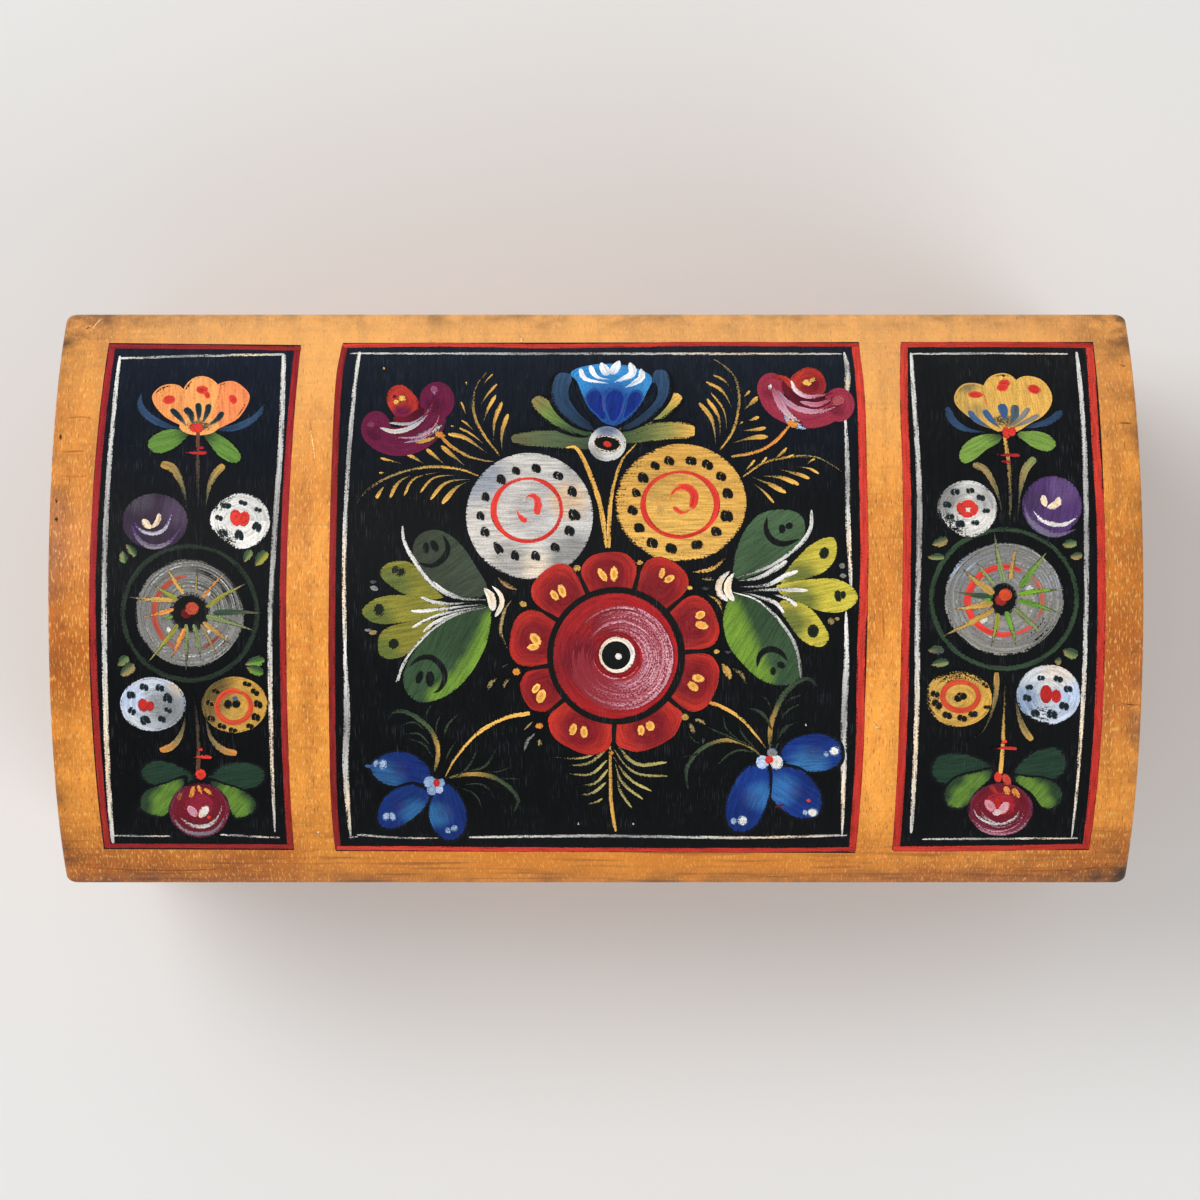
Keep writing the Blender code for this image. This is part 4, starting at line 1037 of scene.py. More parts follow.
# %% Where the strokes of the right plant are
RIGHT_PLANT = {
    "lobes": [
        [(955, 400), (962, 386), (975, 384), (985, 388), (990, 402), (1003, 430), (985, 424), (966, 414)],
        [(1012, 390), (1021, 378), (1038, 379), (1049, 390), (1051, 402), (1044, 414), (1033, 421),
          (1009, 430)],
        [(984, 390), (990, 378), (1003, 374), (1013, 378), (1019, 390), (1014, 410), (1005, 430),
          (992, 410)],
    ],
    "lobe_colour": rgb(228, 178, 88),
    "lobe_tints": [rgb(216, 172, 88), rgb(238, 184, 92), rgb(230, 180, 90)],
    "lobe_line": rgb(150, 128, 70),
    "lobe_rims": [
        (966, 384, 16, rgb(96, 92, 76), 0.7), (1002, 376, 9, None, 0.4), (975, 412, 14, STRAW, 0.6)
    ],
    "lobe_marks": [
        (975, 395, 16, 7, 0), (1004, 384, 13, 9, 10), (1002, 388, 12, 8, 0), (1034, 389.5, 14, 9, -20)
    ],
    "seam": [(983, 392), (988, 408), (996, 424)],
    "stamens": [
        ([(969, 411), (976, 420), (992, 429)], 5, SLATE),
        ([(984, 410), (991, 420), (1001, 429)], 5.5, SLATE),
        ([(1001, 404), (1004, 413), (1005, 424)], 7.5, SLATE),
        ([(1015, 405), (1014, 418), (1007, 428)], 7, rgb(84, 98, 112)),
        ([(1029, 408), (1021, 418), (1009, 428)], 4.5, GREY),
        ([(1039, 415), (1028, 421), (1010, 429)], 4, GREY),
    ],
    "sepal_taper": (0.3, 1.0),
    "sepals": [
        [(947, 407), (953, 421), (967, 430), (988, 433)],
        [(1062, 411), (1052, 420), (1038, 425), (1017, 429)],
    ],
    "heart": [(1006, 433, 8, 13, 10), (1012, 432, 8, 10, -15)],
    "leaves": [
        ([(1003, 434), (985, 433), (967, 440), (957, 454), (961, 465), (974, 461), (986, 451), (1002, 441)],
           30),
        ([(1014, 433), (1027, 430), (1043, 431), (1057, 440), (1058, 447), (1050, 453), (1036, 450),
           (1022, 441)], -20),
    ],
    "leaf_colour": rgb(122, 156, 70),
    "stem": [(1004, 425), (1005, 440), (1008, 462), (1010, 490), (1010, 520)],
    "stem_colour": [CORN, OCHRE, rgb(120, 104, 70), rgb(72, 66, 50)],
    "crosses": [(992, 455, 1020, 455.5, 3.8), (999, 462, 1011, 462, 3)],
    "commas": [
        ([(973, 464), (985, 470), (994, 485), (1000, 503), (1003, 520)], 7.5, STRAW),
        ([(1035, 458), (1026, 468), (1021, 486), (1019, 504), (1018, 518)], 8.5, SAGE),
    ],
    "plum": (1052, 505.5, 60, 59),
    "plum_colour": PURPLE,
    "plum_tint": [(1030, 500, 18, rgb(62, 48, 72), 0.6), (1062, 488, 20, rgb(112, 88, 134), 0.5)],
    "plum_rims": [
        ([(1025, 504), (1029, 519), (1040, 530), (1057, 535), (1077, 529)], 7, rgb(112, 106, 128)),
        ([(1032, 509), (1041, 520), (1059, 525), (1072, 521), (1082, 512)], 5, WHITE),
    ],
    "plum_petals": [
        ([(1043, 495), (1044, 501), (1046, 507)], 7), ([(1059, 497), (1057, 504), (1047, 508)], 8),
        ([(1052, 503), (1055, 505), (1058, 507)], 5),
    ],
    "pale": (967, 509, 60, 57),
    "pale_tint": [(945, 530, 28, None, 0.5), (940, 496, 30, ASH, 0.7), (990, 500, 20, GREY, 0.4)],
    "pale_heart": [
        (961, 509, 9, 14, 20), (968, 504, 14, 8, 0), (974, 510, 8, 13, -20), (967, 515, 12, 6, 0)
    ],
    "pale_dots": [
        (955, 492, 10, 9, 20), (970, 491, 9, 8, 20), (980.5, 498, 9, 8, 10), (986, 511, 8, 6, 20),
        (947, 505, 9, 9, 20), (950, 517, 9, 7, 20), (960, 524, 10, 10, 20), (975, 523, 9, 7, 20),
    ],
    "sprigs": [
        (940, 542, 14, 10, 20, STRAW), (936, 557, 15, 7, 0, SAGE), (1069.5, 544, 13, 9, 10, SAGE),
        (1076, 556, 11, 8, 10, STRAW), (936, 650, 14, 9, 0, ASH), (940, 663, 15, 9, 10, SAGE),
        (1070, 653, 14, 11, -20, SAGE), (1058, 661, 6, 8, 0, STRAW),
    ],
    "wheel": (1004, 599),
    "wheel_ring": (145, 139, rgb(50, 70, 50)),
    "wheel_disc": (120, 113),
    "wheel_colour": [rgb(142, 140, 134), rgb(130, 134, 138), rgb(150, 146, 138), rgb(142, 140, 134)],
    "wheel_tint": [(958, 562, 22, ICE, 0.5), (1058, 580, 20, ICE, 0.4), (1046, 636, 26, None, 0.3)],
    "hub": (1003, 599, 36, 42),
    "hub_light": [(983, 620, 10, 8, 20), (1030, 590, 8, 10, 20)],
    "red_arc": (1005, 601, 75, 68, 60, 280, 7, SCARLET),
    "faint_arc": (1005, 601, 75, 68, 330, 95, 5, rgb(190, 104, 84)),
    "spokes": [
        ((1004, 582), (994, 532), 6, SAGE), ((1010, 580), (1017, 545), 5.5, OCHRE),
        ((1020, 588), (1047, 552), 7, LEAF), ((1018, 594), (1064, 589.5), 5.5, rgb(124, 172, 40)),
        ((1018, 600), (1061, 614), 6, LEAF), ((1014, 608), (1045, 638), 6, SAGE),
        ((1006, 611), (1016, 646), 6, LEAF), ((998, 613), (991, 647), 5.5, LIME),
        ((994, 609), (943, 636), 6.5, OCHRE), ((993, 603), (953, 609), 7, OCHRE),
        ((993, 597), (957, 592), 6, MOSS), ((994, 594), (961, 568), 8, OCHRE),
        ((995, 586), (976, 562), 5, SAGE), ((991, 601), (983, 599), 5, LEAF),
    ],
    "bead": [(1001, 600, 13, 12, 0, BRICK), (1005, 595, 14, 13, 0, rgb(206, 74, 42))],
    "ice": (1048.5, 694.5, 64, 60),
    "ice_tint": [
        (1060, 668, 26, CREAM, 0.6), (1024, 700, 24, rgb(120, 146, 180), 0.8), (1040, 716, 18, None, 0.4)
    ],
    "ice_heart": [(1046, 694, 12, 19, 0), (1056, 696, 10, 14, 0)],
    "ice_dots": [
        (1041, 678, 8, 7, 20), (1058, 679, 10, 8, 0), (1068, 689, 9, 9, 20), (1029, 687, 8, 7, 20),
        (1027, 698, 9, 9, 0), (1035, 713, 9, 10, 30), (1052, 714, 11, 12, 0), (1064, 706, 10, 10, 0),
    ],
    "corn": (958.5, 698, 67, 57),
    "corn_tint": [(952, 671, 24, None, 0.5), (976, 676, 14, None, 0.4), (930, 704, 20, None, 0.4)],
    "corn_ring": (960.5, 696, 36, 29, 60, 364, 6),
    "corn_heart": [(958, 698, 9, 8, 20, JET), (963, 696, 8, 8, 0, JET), (959, 694, 5, 4, 0, JET)],
    "corn_dots": [
        (935, 694, 9, 8, 0), (937, 704, 11, 10, -30), (947, 715, 10, 9, 0), (962, 718, 10, 8, 0),
        (973, 714, 10, 8, 20), (987, 707, 8, 5, 20), (985, 685, 8, 5, -20),
    ],
    "tails": [
        ([(996.5, 672), (996, 694), (991, 714), (981, 733), (967, 740)], 5, OCHRE),
        ([(1032, 740), (1024, 729), (1018, 712), (1014, 686)], 6, OCHRE),
    ],
    "low_stem": [(1005, 678), (1004, 712), (1003, 742), (1000.5, 773)],
    "low_colour": [rgb(92, 82, 58), OCHRE, CORN],
    "low_crosses": [(990, 748, 1017, 748.5, 3.2), (1000, 743, 1007, 741, 4)],
    "bud": [(998, 777, 8, 11, 0, SCARLET), (1006.5, 779, 8, 14, 30, rgb(190, 66, 52))],
    "dark_leaves": [
        [(998.8, 770.5), (979, 756.3), (957, 751.5), (937.2, 753.9), (928.9, 765.8), (931.7, 780),
          (944.9, 786), (979, 774.1)],
        [(1008.1, 774.6), (1023.5, 756.7), (1041.1, 747.2), (1059.8, 746), (1068.6, 756.7), (1066.4, 773.4),
          (1046.6, 782.9), (1009.2, 780.5)],
    ],
    "low_leaves": [
        ([(996, 769), (976, 770), (955, 776), (943, 789), (943, 803), (951, 810), (966, 808), (981, 789)],
         [(976, 781, 16), (963, 794, 15), (955, 804, 10)]),
        ([(1010, 775), (1027, 775), (1047, 777), (1062, 786), (1064, 799), (1057, 808), (1044, 810),
           (1031, 794)], [(1026, 782, 13), (1037, 792, 16), (1045, 802, 12)]),
    ],
    "rose": (1000.5, 809, 66, 53),
    "rose_rims": [
        ([(969, 812), (981, 829), (1001, 834), (1021, 828), (1031, 812)], 5, rgb(190, 130, 146)),
        ([(972, 803), (980, 818), (1000, 827), (1018, 820), (1026, 806)], 3.4, LILAC),
        ([(976, 802), (985, 817), (1001, 824), (1017, 816), (1022, 803)], 4.2, PEARL),
    ],
    "rose_heart": (1001, 803, 40, 32),
    "rose_rings": [
        ([(972, 806), (980, 818), (997, 824), (1014, 818), (1022, 805)], 3, PEARL),
        ([(970, 815), (982, 827), (1000, 831), (1017, 825), (1025, 813)], 2.4, PINK),
    ],
    "rose_colour": rgb(162, 34, 44),
    "rose_sparks": [
        ([(990, 785), (998, 794)], 6, BRICK), ([(1005, 786), (1009, 795)], 7, ORANGE),
        ([(1013, 788), (1019, 798)], 7, ORANGE),
    ],
    "rose_petals": [
        (990, 805.5, 9, 16, 35, rgb(206, 138, 150)), (1004, 807.5, 9, 15, -38, rgb(216, 160, 170)),
        (996.5, 812, 9, 7, 0, rgb(232, 204, 206)), (997, 803, 5, 11, 0, RED),
    ],
}
print("right plant: the same parts, in other places")


# %% Painting a side panel's plant
def paint_tulip(art, at):
    art.begin(1)
    x, y = at["stem"][0]
    for outline, run in at["leaves"]:
        spots = ((x, y + 2, 26, rgb(46, 60, 42), 0.9),)
        art.patch(outline, at["leaf_colour"], run=run, cover=0.97, spots=spots, soft=0.1)
    for points in at["sepals"]:
        tints = [rgb(44, 66, 94), rgb(50, 76, 108), rgb(28, 42, 60)]
        art.stroke(points, 8.5, tints, at["sepal_taper"], cover=[0.9, 1, 0.85])
    for outline, tint in zip(at["lobes"], at["lobe_tints"]):
        art.patch(outline, tint, run=95, cover=0.98, spots=at["lobe_rims"])
        art.stroke(
            outline, 1.8, at["lobe_line"], (0, 0), closed=True, under=tint,
            cover=[0.7, 0.45, 0.65, 0.4, 0.7],
        )
    art.stroke(at["seam"], 3.4, rgb(232, 96, 60), COMMA, under=at["lobe_colour"], cover=[0.9, 0.6])
    art.dab(x + 1, y - 4, 40, 19, 0, rgb(84, 76, 58), under=at["lobe_colour"], cover=0.66, soft=0.6)
    for points, width, colour in at["stamens"]:
        art.stroke(
            points, width * 1.3, [colour, colour, ASH], (0.3, 0.9), under=STRAW, cover=[1, 0.95, 0.7]
        )
    art.dabs(at["lobe_marks"], SCARLET, under=at["lobe_colour"], cover=0.95)
    art.stroke(at["stem"], 4.6, at["stem_colour"], (0.2, 0.3), cover=[1, 0.85, 0.8, 0.7])
    art.dabs(at["heart"], SCARLET)
    for x0, y0, x1, y1, width in at["crosses"]:
        art.stroke([(x0, y0), (x1, y1)], width, rgb(176, 42, 48), (0.6, 0.15), cover=[0.55, 1, 1])


def paint_blossom(art, place, colour, tint, dots, ink=rgb(22, 34, 38), cover=1.0):
    """A round blossom, brushed round and round, with a wreath of dark dashes."""
    art.patch(ellipse(*place), colour, cover=cover, spots=tint)
    art.dashes(dots, ink, blend(colour, 0), 0.8)


WHEEL_RINGS = 30


def paint_wheel(art, at):
    x, y = at["wheel"]
    wide, high, green = at["wheel_ring"]
    art.begin(1)
    cover = [0.85, 0.7, 0.9, 0.75, 0.9, 0.85]
    art.stroke(ellipse(x, y, wide, high, count=16), 5.6, green, (0, 0), closed=True, cover=cover)
    wide, high = at["wheel_disc"]
    art.patch(ellipse(x, y, wide, high, count=20), at["wheel_colour"], cover=0.8, spots=at["wheel_tint"])
    for i in range(WHEEL_RINGS):
        size = 0.48 + 0.5 * i / WHEEL_RINGS
        start, sweep = art.dice.uniform(0, 360), art.dice.uniform(90, 260)
        tint = art.dice.choice([PEARL, rgb(168, 166, 158), GREY, ASH])
        points = ellipse(x, y, wide * size, high * size, 0, start, sweep)
        art.stroke(points, 1.5, tint, ROUND, under=GREY, cover=[0.5, 0.85, 0.5])
    art.dabs(at["hub_light"], PEARL)
    for arc in (at["red_arc"], at["faint_arc"]):
        x0, y0, width, height, start, sweep, thick, colour = arc
        points = ellipse(x0, y0, width, height, 0, start, sweep)
        art.stroke(points, thick, colour, (0.3, 0.4), under=GREY, cover=[0.95, 1, 0.6])
    art.patch(ellipse(*at["hub"]), JET, cover=0.95, under=GREY, soft=0.4)
    for start, end, width, colour in at["spokes"]:
        tip = blend(colour, 0).lerp(Vector(STRAW), 0.5)
        art.stroke(
            [start, end], width * 0.95, [colour, colour, tip], (0.3, 1.0), 0.02, cover=[0.95, 0.9, 0.8],
            under=ASH,
        )
    art.dabs(at["bead"])


def paint_rose(art, at):
    art.begin(1)
    for outline in at["dark_leaves"]:
        art.patch(
            outline, rgb(36, 60, 46), run=10, cover=0.93, spots=((*outline[0], 24, None, 0.3),), soft=0.25
        )
    for outline, glow in at["low_leaves"]:
        spots = [(*spot, rgb(100, 136, 52), 0.9) for spot in glow]
        art.patch(outline, rgb(42, 64, 42), run=55, cover=0.93, spots=spots, soft=0.25)
    x, y, width, height = at["rose"]
    art.patch(ellipse(x, y, width, height), rgb(112, 44, 64), cover=0.8, under=rgb(40, 14, 26))
    art.patch(ellipse(x, y - 2, width * 0.86, height * 0.86), WINE, cover=0.97, under=PLUM)
    art.patch(ellipse(*at["rose_heart"]), at["rose_colour"], under=WINE, cover=0.85, soft=0.5)
    for points, width, colour in at["rose_rims"]:
        art.stroke(
            points, width * 0.85, [LILAC, colour, LILAC], (0.45, 0.45), under=WINE, cover=[0.6, 0.85, 0.6]
        )
    art.strokes(at["rose_rings"], (0.5, 0.5), under=WINE, cover=[0.7, 1, 0.7])
    art.strokes(at["rose_sparks"], ROUND, under=WINE, cover=[1, 0.7])
    art.dabs(at["rose_petals"], under=RED, cover=0.9)


def paint_plant(art, at):
    paint_tulip(art, at)
    art.begin(2)
    for points, width, colour in at["commas"]:
        tints = [colour, STRAW, rgb(96, 92, 70), rgb(52, 54, 44)]
        art.stroke(points, width, tints, (0.25, 1.6), cover=[1, 0.95, 0.9, 0.9])
    art.patch(ellipse(*at["plum"]), at["plum_colour"], run=80, cover=0.93, spots=at["plum_tint"])
    art.strokes(at["plum_rims"], (0.6, 0.9), under=PURPLE, cover=[0.6, 1, 0.6])
    art.strokes(at["plum_petals"], CREAM, (0.5, 0.6), under=PURPLE)
    paint_blossom(art, at["pale"], [PEARL, WHITE], at["pale_tint"], at["pale_dots"], cover=0.9)
    art.dabs(at["pale_heart"], SCARLET)
    for x, y, width, height, tilt, colour in at["sprigs"]:
        reach = Vector((width * 0.6, 0)) @ Matrix.Rotation(math.radians(tilt), 2)
        ends = [(x - reach.x, y - reach.y), (x, y), (x + reach.x, y + reach.y)]
        art.stroke(ends, height * 1.1, [STRAW, colour, colour], PETAL, side=MOSS, cover=[0.8, 0.95, 0.8])
    paint_wheel(art, at)
    art.begin(2)
    paint_blossom(art, at["ice"], [ICE, PEARL, ICE], at["ice_tint"], at["ice_dots"], cover=0.93)
    art.dabs(at["ice_heart"], RED)
    corn = [rgb(206, 158, 70), OCHRE, rgb(206, 158, 70)]
    paint_blossom(art, at["corn"], corn, at["corn_tint"], at["corn_dots"], JET, cover=0.96)
    x, y, width, height, start, sweep, thick = at["corn_ring"]
    art.stroke(
        ellipse(x, y, width, height, 0, start, sweep), thick, rgb(206, 72, 46), (0.08, 0.12), under=OCHRE
    )
    art.dabs(at["corn_heart"], under=OCHRE)
    for points, width, colour in at["tails"]:
        tints = [colour, STRAW, rgb(90, 78, 56), rgb(50, 48, 40)]
        art.stroke(points, width * 1.15, tints, (0.25, 1.6), cover=[1, 0.95, 0.9, 0.9])
    art.stroke(at["low_stem"], 4.4, at["low_colour"], (0.6, 0.1), cover=[0.7, 0.85, 1])
    for x0, y0, x1, y1, width in at["low_crosses"]:
        art.stroke([(x0, y0), (x1, y1)], width, SCARLET, (0.6, 0.2), 0.03, cover=[0.5, 1, 1])
    paint_rose(art, at)
    art.level += 6 * HAIR
    art.dabs(at["bud"])


paint_plant(left_art, LEFT_PLANT)
paint_plant(right_art, RIGHT_PLANT)
left_art.hang("left_panel_painting", oil_paint, "lid", bend)
right_art.hang("right_panel_painting", oil_paint, "lid", bend)

# %% [markdown]
# ## The middle panel
# The large panel is built round a red blossom with nine petals. Above it stand a white and a yellow
# rosette and a blue tulip, in its upper corners two wine-red roses between feathers of pale strokes,
# at its sides two fans of leaves, and below them two blue blossoms. It is painted from the back
# forwards: feathers and stems, then leaves, then blossoms, then the lines and dots on top.

# %% Feathers and stems
PALE_FEATHERS = {
    "left ribs": [
        ([(500, 456), (486, 438), (476, 420), (473, 400), (478, 384), (487, 372)], 3.2),
        ([(479, 476), (458, 469), (430, 467), (396, 474), (370, 488), (357, 503)], 3.4),
    ],
    "left barbs": [
        ([(493, 374), (487, 380), (482, 387)], 1.8), ([(497, 384), (488, 394), (480, 406)], 3),
        ([(496, 395), (488, 409), (483, 424)], 4.2), ([(502, 402), (495, 420), (493, 443)], 5),
        ([(508, 414), (502, 432), (502, 452)], 5.2), ([(466, 382), (466.5, 386)], 2),
        ([(461, 402), (464, 409), (466, 415)], 2.6), ([(461, 420), (467, 424), (474, 431)], 2.6),
        ([(451, 426), (455, 427)], 2.2), ([(459, 428), (471, 434), (486, 446)], 3),
        ([(448, 434), (465, 438), (488, 454)], 5.4), ([(441, 446), (453, 456), (466, 467)], 5),
        ([(426, 449), (437, 458), (445, 465)], 4.6), ([(407, 454), (418, 460), (424, 464)], 4.6),
        ([(380, 458), (391, 461), (402, 464)], 3.2), ([(379, 473), (387, 473.5)], 2.2),
        ([(376, 499), (380, 492), (386, 484)], 4.2), ([(390, 498), (398, 483), (414, 474)], 4.2),
        ([(404, 496), (414, 479), (440, 472)], 2.8), ([(420, 493), (434, 478), (459, 475)], 2.8),
        ([(430, 500), (446, 483), (472, 479)], 3.8), ([(442, 504), (457, 487), (470, 481)], 5.2),
    ],
    "right ribs": [
        ([(720, 450), (733, 431), (739, 405), (736, 380), (725, 367), (713, 359)], 3.4),
        ([(743, 477), (762, 464), (790, 457), (815, 457), (830, 464), (843, 473)], 3),
    ],
    "right barbs": [
        ([(699, 403), (712, 420), (716, 446)], 5.2), ([(707, 399), (719, 418), (720, 438)], 4.4),
        ([(711, 393), (724, 411), (727, 434)], 2.2), ([(706, 382), (722, 391), (732, 408)], 4.4),
        ([(713, 375), (726, 382), (732, 393)], 2.4), ([(750, 391), (746, 395), (743, 398)], 3.2),
        ([(758, 397), (751, 404), (743, 411)], 5.4), ([(759, 417), (752, 420), (747, 421)], 4.6),
        ([(743, 422), (739, 425)], 1.8), ([(766, 428), (755, 430), (741, 431)], 4.6),
        ([(768, 437), (752, 438), (733, 443)], 5.6), ([(755, 460), (750, 466), (743, 473)], 2.8),
        ([(767, 457), (761, 464), (754, 471)], 2.8), ([(787, 448), (780, 455), (771, 463)], 3.4),
        ([(794, 455), (786, 458), (780, 461)], 2.2), ([(815, 459), (811, 461), (807, 465)], 2),
        ([(774, 503), (765, 493), (753, 483)], 2.8), ([(786, 493), (771, 485), (752, 477)], 5.6),
        ([(799, 485), (782, 478), (760, 476)], 5.2), ([(810, 479), (797, 474), (776, 469)], 4),
        ([(819, 474), (810, 469), (797, 467)], 2.8),
    ],
}
GREEN_FEATHERS = {
    "ribs": [
        ([(434, 773), (438, 755), (435, 738), (424, 723), (408, 713), (394, 712), (388, 719)], 5.5),
        ([(446, 778), (470, 774), (490, 776), (508, 786), (518, 800), (514, 813)], 5.5),
        ([(762, 757), (748, 746), (728, 740), (708, 745), (693, 757), (686, 772), (688, 789)], 4.8),
        ([(770, 750), (771, 725), (780, 701), (793, 685), (808, 679), (818, 687)], 6),
    ],
    "barbs": [
        ([(433, 757), (424, 744), (405, 738)], 2.4), ([(430, 745), (419, 734), (404, 734)], 2),
        ([(425, 730), (414, 722), (399, 727)], 2.4), ([(427, 725), (427, 712), (433, 703)], 1.8),
        ([(436, 735), (437, 722), (444, 710)], 1.8), ([(443, 740), (448, 724), (459, 714)], 2.4),
        ([(444, 765), (450, 750), (459, 737)], 1.6), ([(456, 777), (468, 767), (478, 748)], 2.4),
        ([(462, 772), (485, 766), (497, 747)], 2.6), ([(482, 772), (500, 771), (513, 765)], 1.8),
        ([(500, 778), (522, 779)], 1.8), ([(463, 784), (484, 785), (497, 801)], 2.2),
        ([(455, 785), (476, 795), (484, 815)], 2), ([(757, 752), (735, 751), (714, 768)], 2.8),
        ([(752, 747), (730, 737), (706, 726)], 2.6), ([(757, 750), (742, 734), (738, 718)], 2.2),
        ([(740, 740), (726, 728), (723, 715)], 2.2), ([(704, 753), (680, 757)], 1.8),
        ([(688, 730), (693, 740), (704, 744)], 2), ([(772, 730), (762, 713), (745, 707)], 3.4),
        ([(772, 715), (767, 700), (756, 693)], 2.2), ([(776, 742), (785, 728), (799, 721)], 3.4),
        ([(780, 720), (788, 710), (801, 703)], 2.8), ([(785, 704), (794, 697), (803, 695)], 2.2),
        ([(775, 750), (779, 741)], 2.2),
    ],
}
BOTTOM_SPRAY = [
    ([(609, 742), (585, 757), (552, 757)], 3.2), ([(608, 747), (588, 763), (563, 765)], 3.4),
    ([(607, 760), (590, 774), (567, 773)], 3.4), ([(608, 769), (595, 783), (577, 786)], 3.2),
    ([(606, 782), (592, 793), (577, 794)], 3.4), ([(603, 798), (596, 802), (587, 804)], 2.4),
    ([(667, 762), (635, 763), (613, 738)], 4.4), ([(668, 776), (634, 772), (611, 745)], 3),
    ([(652, 791), (630, 779), (612, 755)], 3.4), ([(643, 799), (623, 783), (615, 763)], 3.4),
    ([(632, 808), (620, 790), (617, 773)], 3),
]
STEMS = [
    ([(566, 448), (576, 448), (589, 472), (600, 505), (607, 548)], 4.8, [CORN, CORN, CORN], (0.25, 0.15)),
    ([(637, 443), (622, 461), (613, 489), (609.5, 515), (608.5, 548)], 4.2, [CORN, CORN], (0.5, 0.1)),
    ([(530, 713), (505, 718), (478, 733), (456, 757), (445, 777)], 4.4, [YELLOW, YELLOW, OCHRE],
       (0.08, 0.5)),
    ([(694, 702), (712, 703), (738, 716), (756, 735), (766, 748)], 4, [ORANGE, YELLOW, OCHRE], (0.1, 0.5)),
    ([(441, 437), (453, 448), (472, 458), (494, 462)], 3.4, [ORANGE, OCHRE, STRAW], (0.2, 0.5)),
    ([(790, 425), (775, 442), (757, 452), (731, 457)], 3.6, [ORANGE, ORANGE, OCHRE], (0.2, 0.2)),
    ([(610, 735), (610.5, 775), (611, 800), (615.5, 831)], 3.6, [OCHRE, CORN], (0.3, 0.1)),
]
CRUMBS = [
    ([(533, 721), (524, 730)], 3.4, STRAW), ([(537, 731), (528, 740), (523, 754)], 4, GREY),
    ([(706, 725), (700, 720), (692, 719)], 5, STRAW), ([(689, 721), (692, 728), (695, 735)], 5, STRAW),
    ([(498, 677), (491, 683), (487, 692)], 4.4, STRAW), ([(510, 677), (505, 683), (502, 689)], 5, STRAW),
    ([(510, 663), (500, 668)], 2.4, ASH), ([(724, 652), (732, 652)], 3, ASH),
    ([(721, 663), (727, 671), (731, 680)], 7.5, OCHRE), ([(731, 667), (741, 673), (747, 684)], 4.4, STRAW),
    ([(692, 572), (712, 569), (728, 556)], 4.4, CORN), ([(701, 579), (715, 579)], 4, STRAW),
    ([(699, 588), (712, 588)], 4, ASH), ([(707, 594), (718, 601), (723, 614)], 3.4, OCHRE),
    ([(497, 576), (507, 586), (518, 590)], 5, rgb(160, 124, 76)), ([(540, 738), (539, 747)], 5.5, STRAW),
    ([(514, 596), (504, 612), (501, 632), (508, 650)], 4, STRAW), ([(703, 736), (703, 745)], 3, ASH),
]
SEED_DOTS = [
    (577, 568.5, 8, 7, 0, OCHRE), (639.5, 562.5, 7, 5, 0, CORN), (523, 604, 8, 6, -20, OCHRE),
    (689, 588, 7, 4.5, 0, CORN), (716.5, 651.5, 6, 4.5, 0, CORN), (516.5, 671.5, 8, 8, 0, ORANGE),
    (539, 725.5, 8.5, 6, 5, ORANGE), (685, 716.5, 7.5, 7, 0, OCHRE), (611, 752, 5.5, 5.5, 0, ORANGE),
    (373, 582, 7, 3.5, 0, ASH), (374, 588, 9, 5.5, -20, GREY), (368, 630, 8, 3, 0, GREY),
    (373, 632.5, 8.5, 4.5, 10, STRAW), (842, 566, 6, 6, 0, GREY), (843, 576, 7, 5, 0, GREY),
    (831, 621, 7, 7, -20, STRAW), (837, 619, 5, 4, 0, STRAW), (384, 369, 2, 2, 0, CORN),
    (578.5, 823, 2.2, 2.2, 0, PEARL), (633.5, 823, 2.2, 2.2, 0, PEARL), (806, 724.5, 2, 2, 0, PEARL),
]


def paint_pale_feathers(art):
    art.begin()
    for side in ("left", "right"):
        art.strokes(
            PALE_FEATHERS[side + " ribs"], [CORN, OCHRE, STRAW, STRAW], (0.3, 0.4),
            cover=[0.95, 0.9, 0.85, 0.8], size=0.9,
        )
        art.strokes(
            PALE_FEATHERS[side + " barbs"], [YELLOW, CORN, OCHRE, STRAW, STRAW], (0.5, 1.7),
            cover=[1, 1, 0.95, 0.9], size=0.92,
        )


def paint_green_feathers(art):
    art.begin()
    colour = [MOSS, OCHRE, rgb(72, 88, 58), rgb(56, 70, 52), rgb(40, 50, 40)]
    art.strokes(GREEN_FEATHERS["ribs"], colour, (0.4, 0.35), cover=[0.85, 0.95, 0.85, 0.9, 0.75])
    art.strokes(
        GREEN_FEATHERS["barbs"], [rgb(56, 68, 48), rgb(46, 58, 46)], (0.6, 0.6), cover=[0.75, 0.9, 0.75],
        size=1.1,
    )
    art.strokes(
        BOTTOM_SPRAY, [rgb(190, 174, 104), rgb(160, 152, 96), STRAW], (0.5, 0.9), cover=[1, 0.9, 0.8]
    )


def paint_stems(art, stems):
    art.strokes(stems, cover=[1, 0.9, 0.95])


def paint_crumbs(art):
    art.strokes(CRUMBS, ROUND, cover=[0.6, 0.9, 0.6])
    art.dabs(SEED_DOTS, cover=0.92)


paint_pale_feathers(centre_art)
paint_green_feathers(centre_art)
paint_stems(centre_art, STEMS)
paint_crumbs(centre_art)
print(centre_art.count, "strokes so far")

# %% [markdown]
# ### Fans of leaves
# A fan is two dark leaves with three pale ones between them, tied with white. They are filled
# shapes and not strokes, because the painter turned the brush within each leaf. The lighter green
# of the lower leaf is wiped in as soft spots along its edge, while the paint is wet.

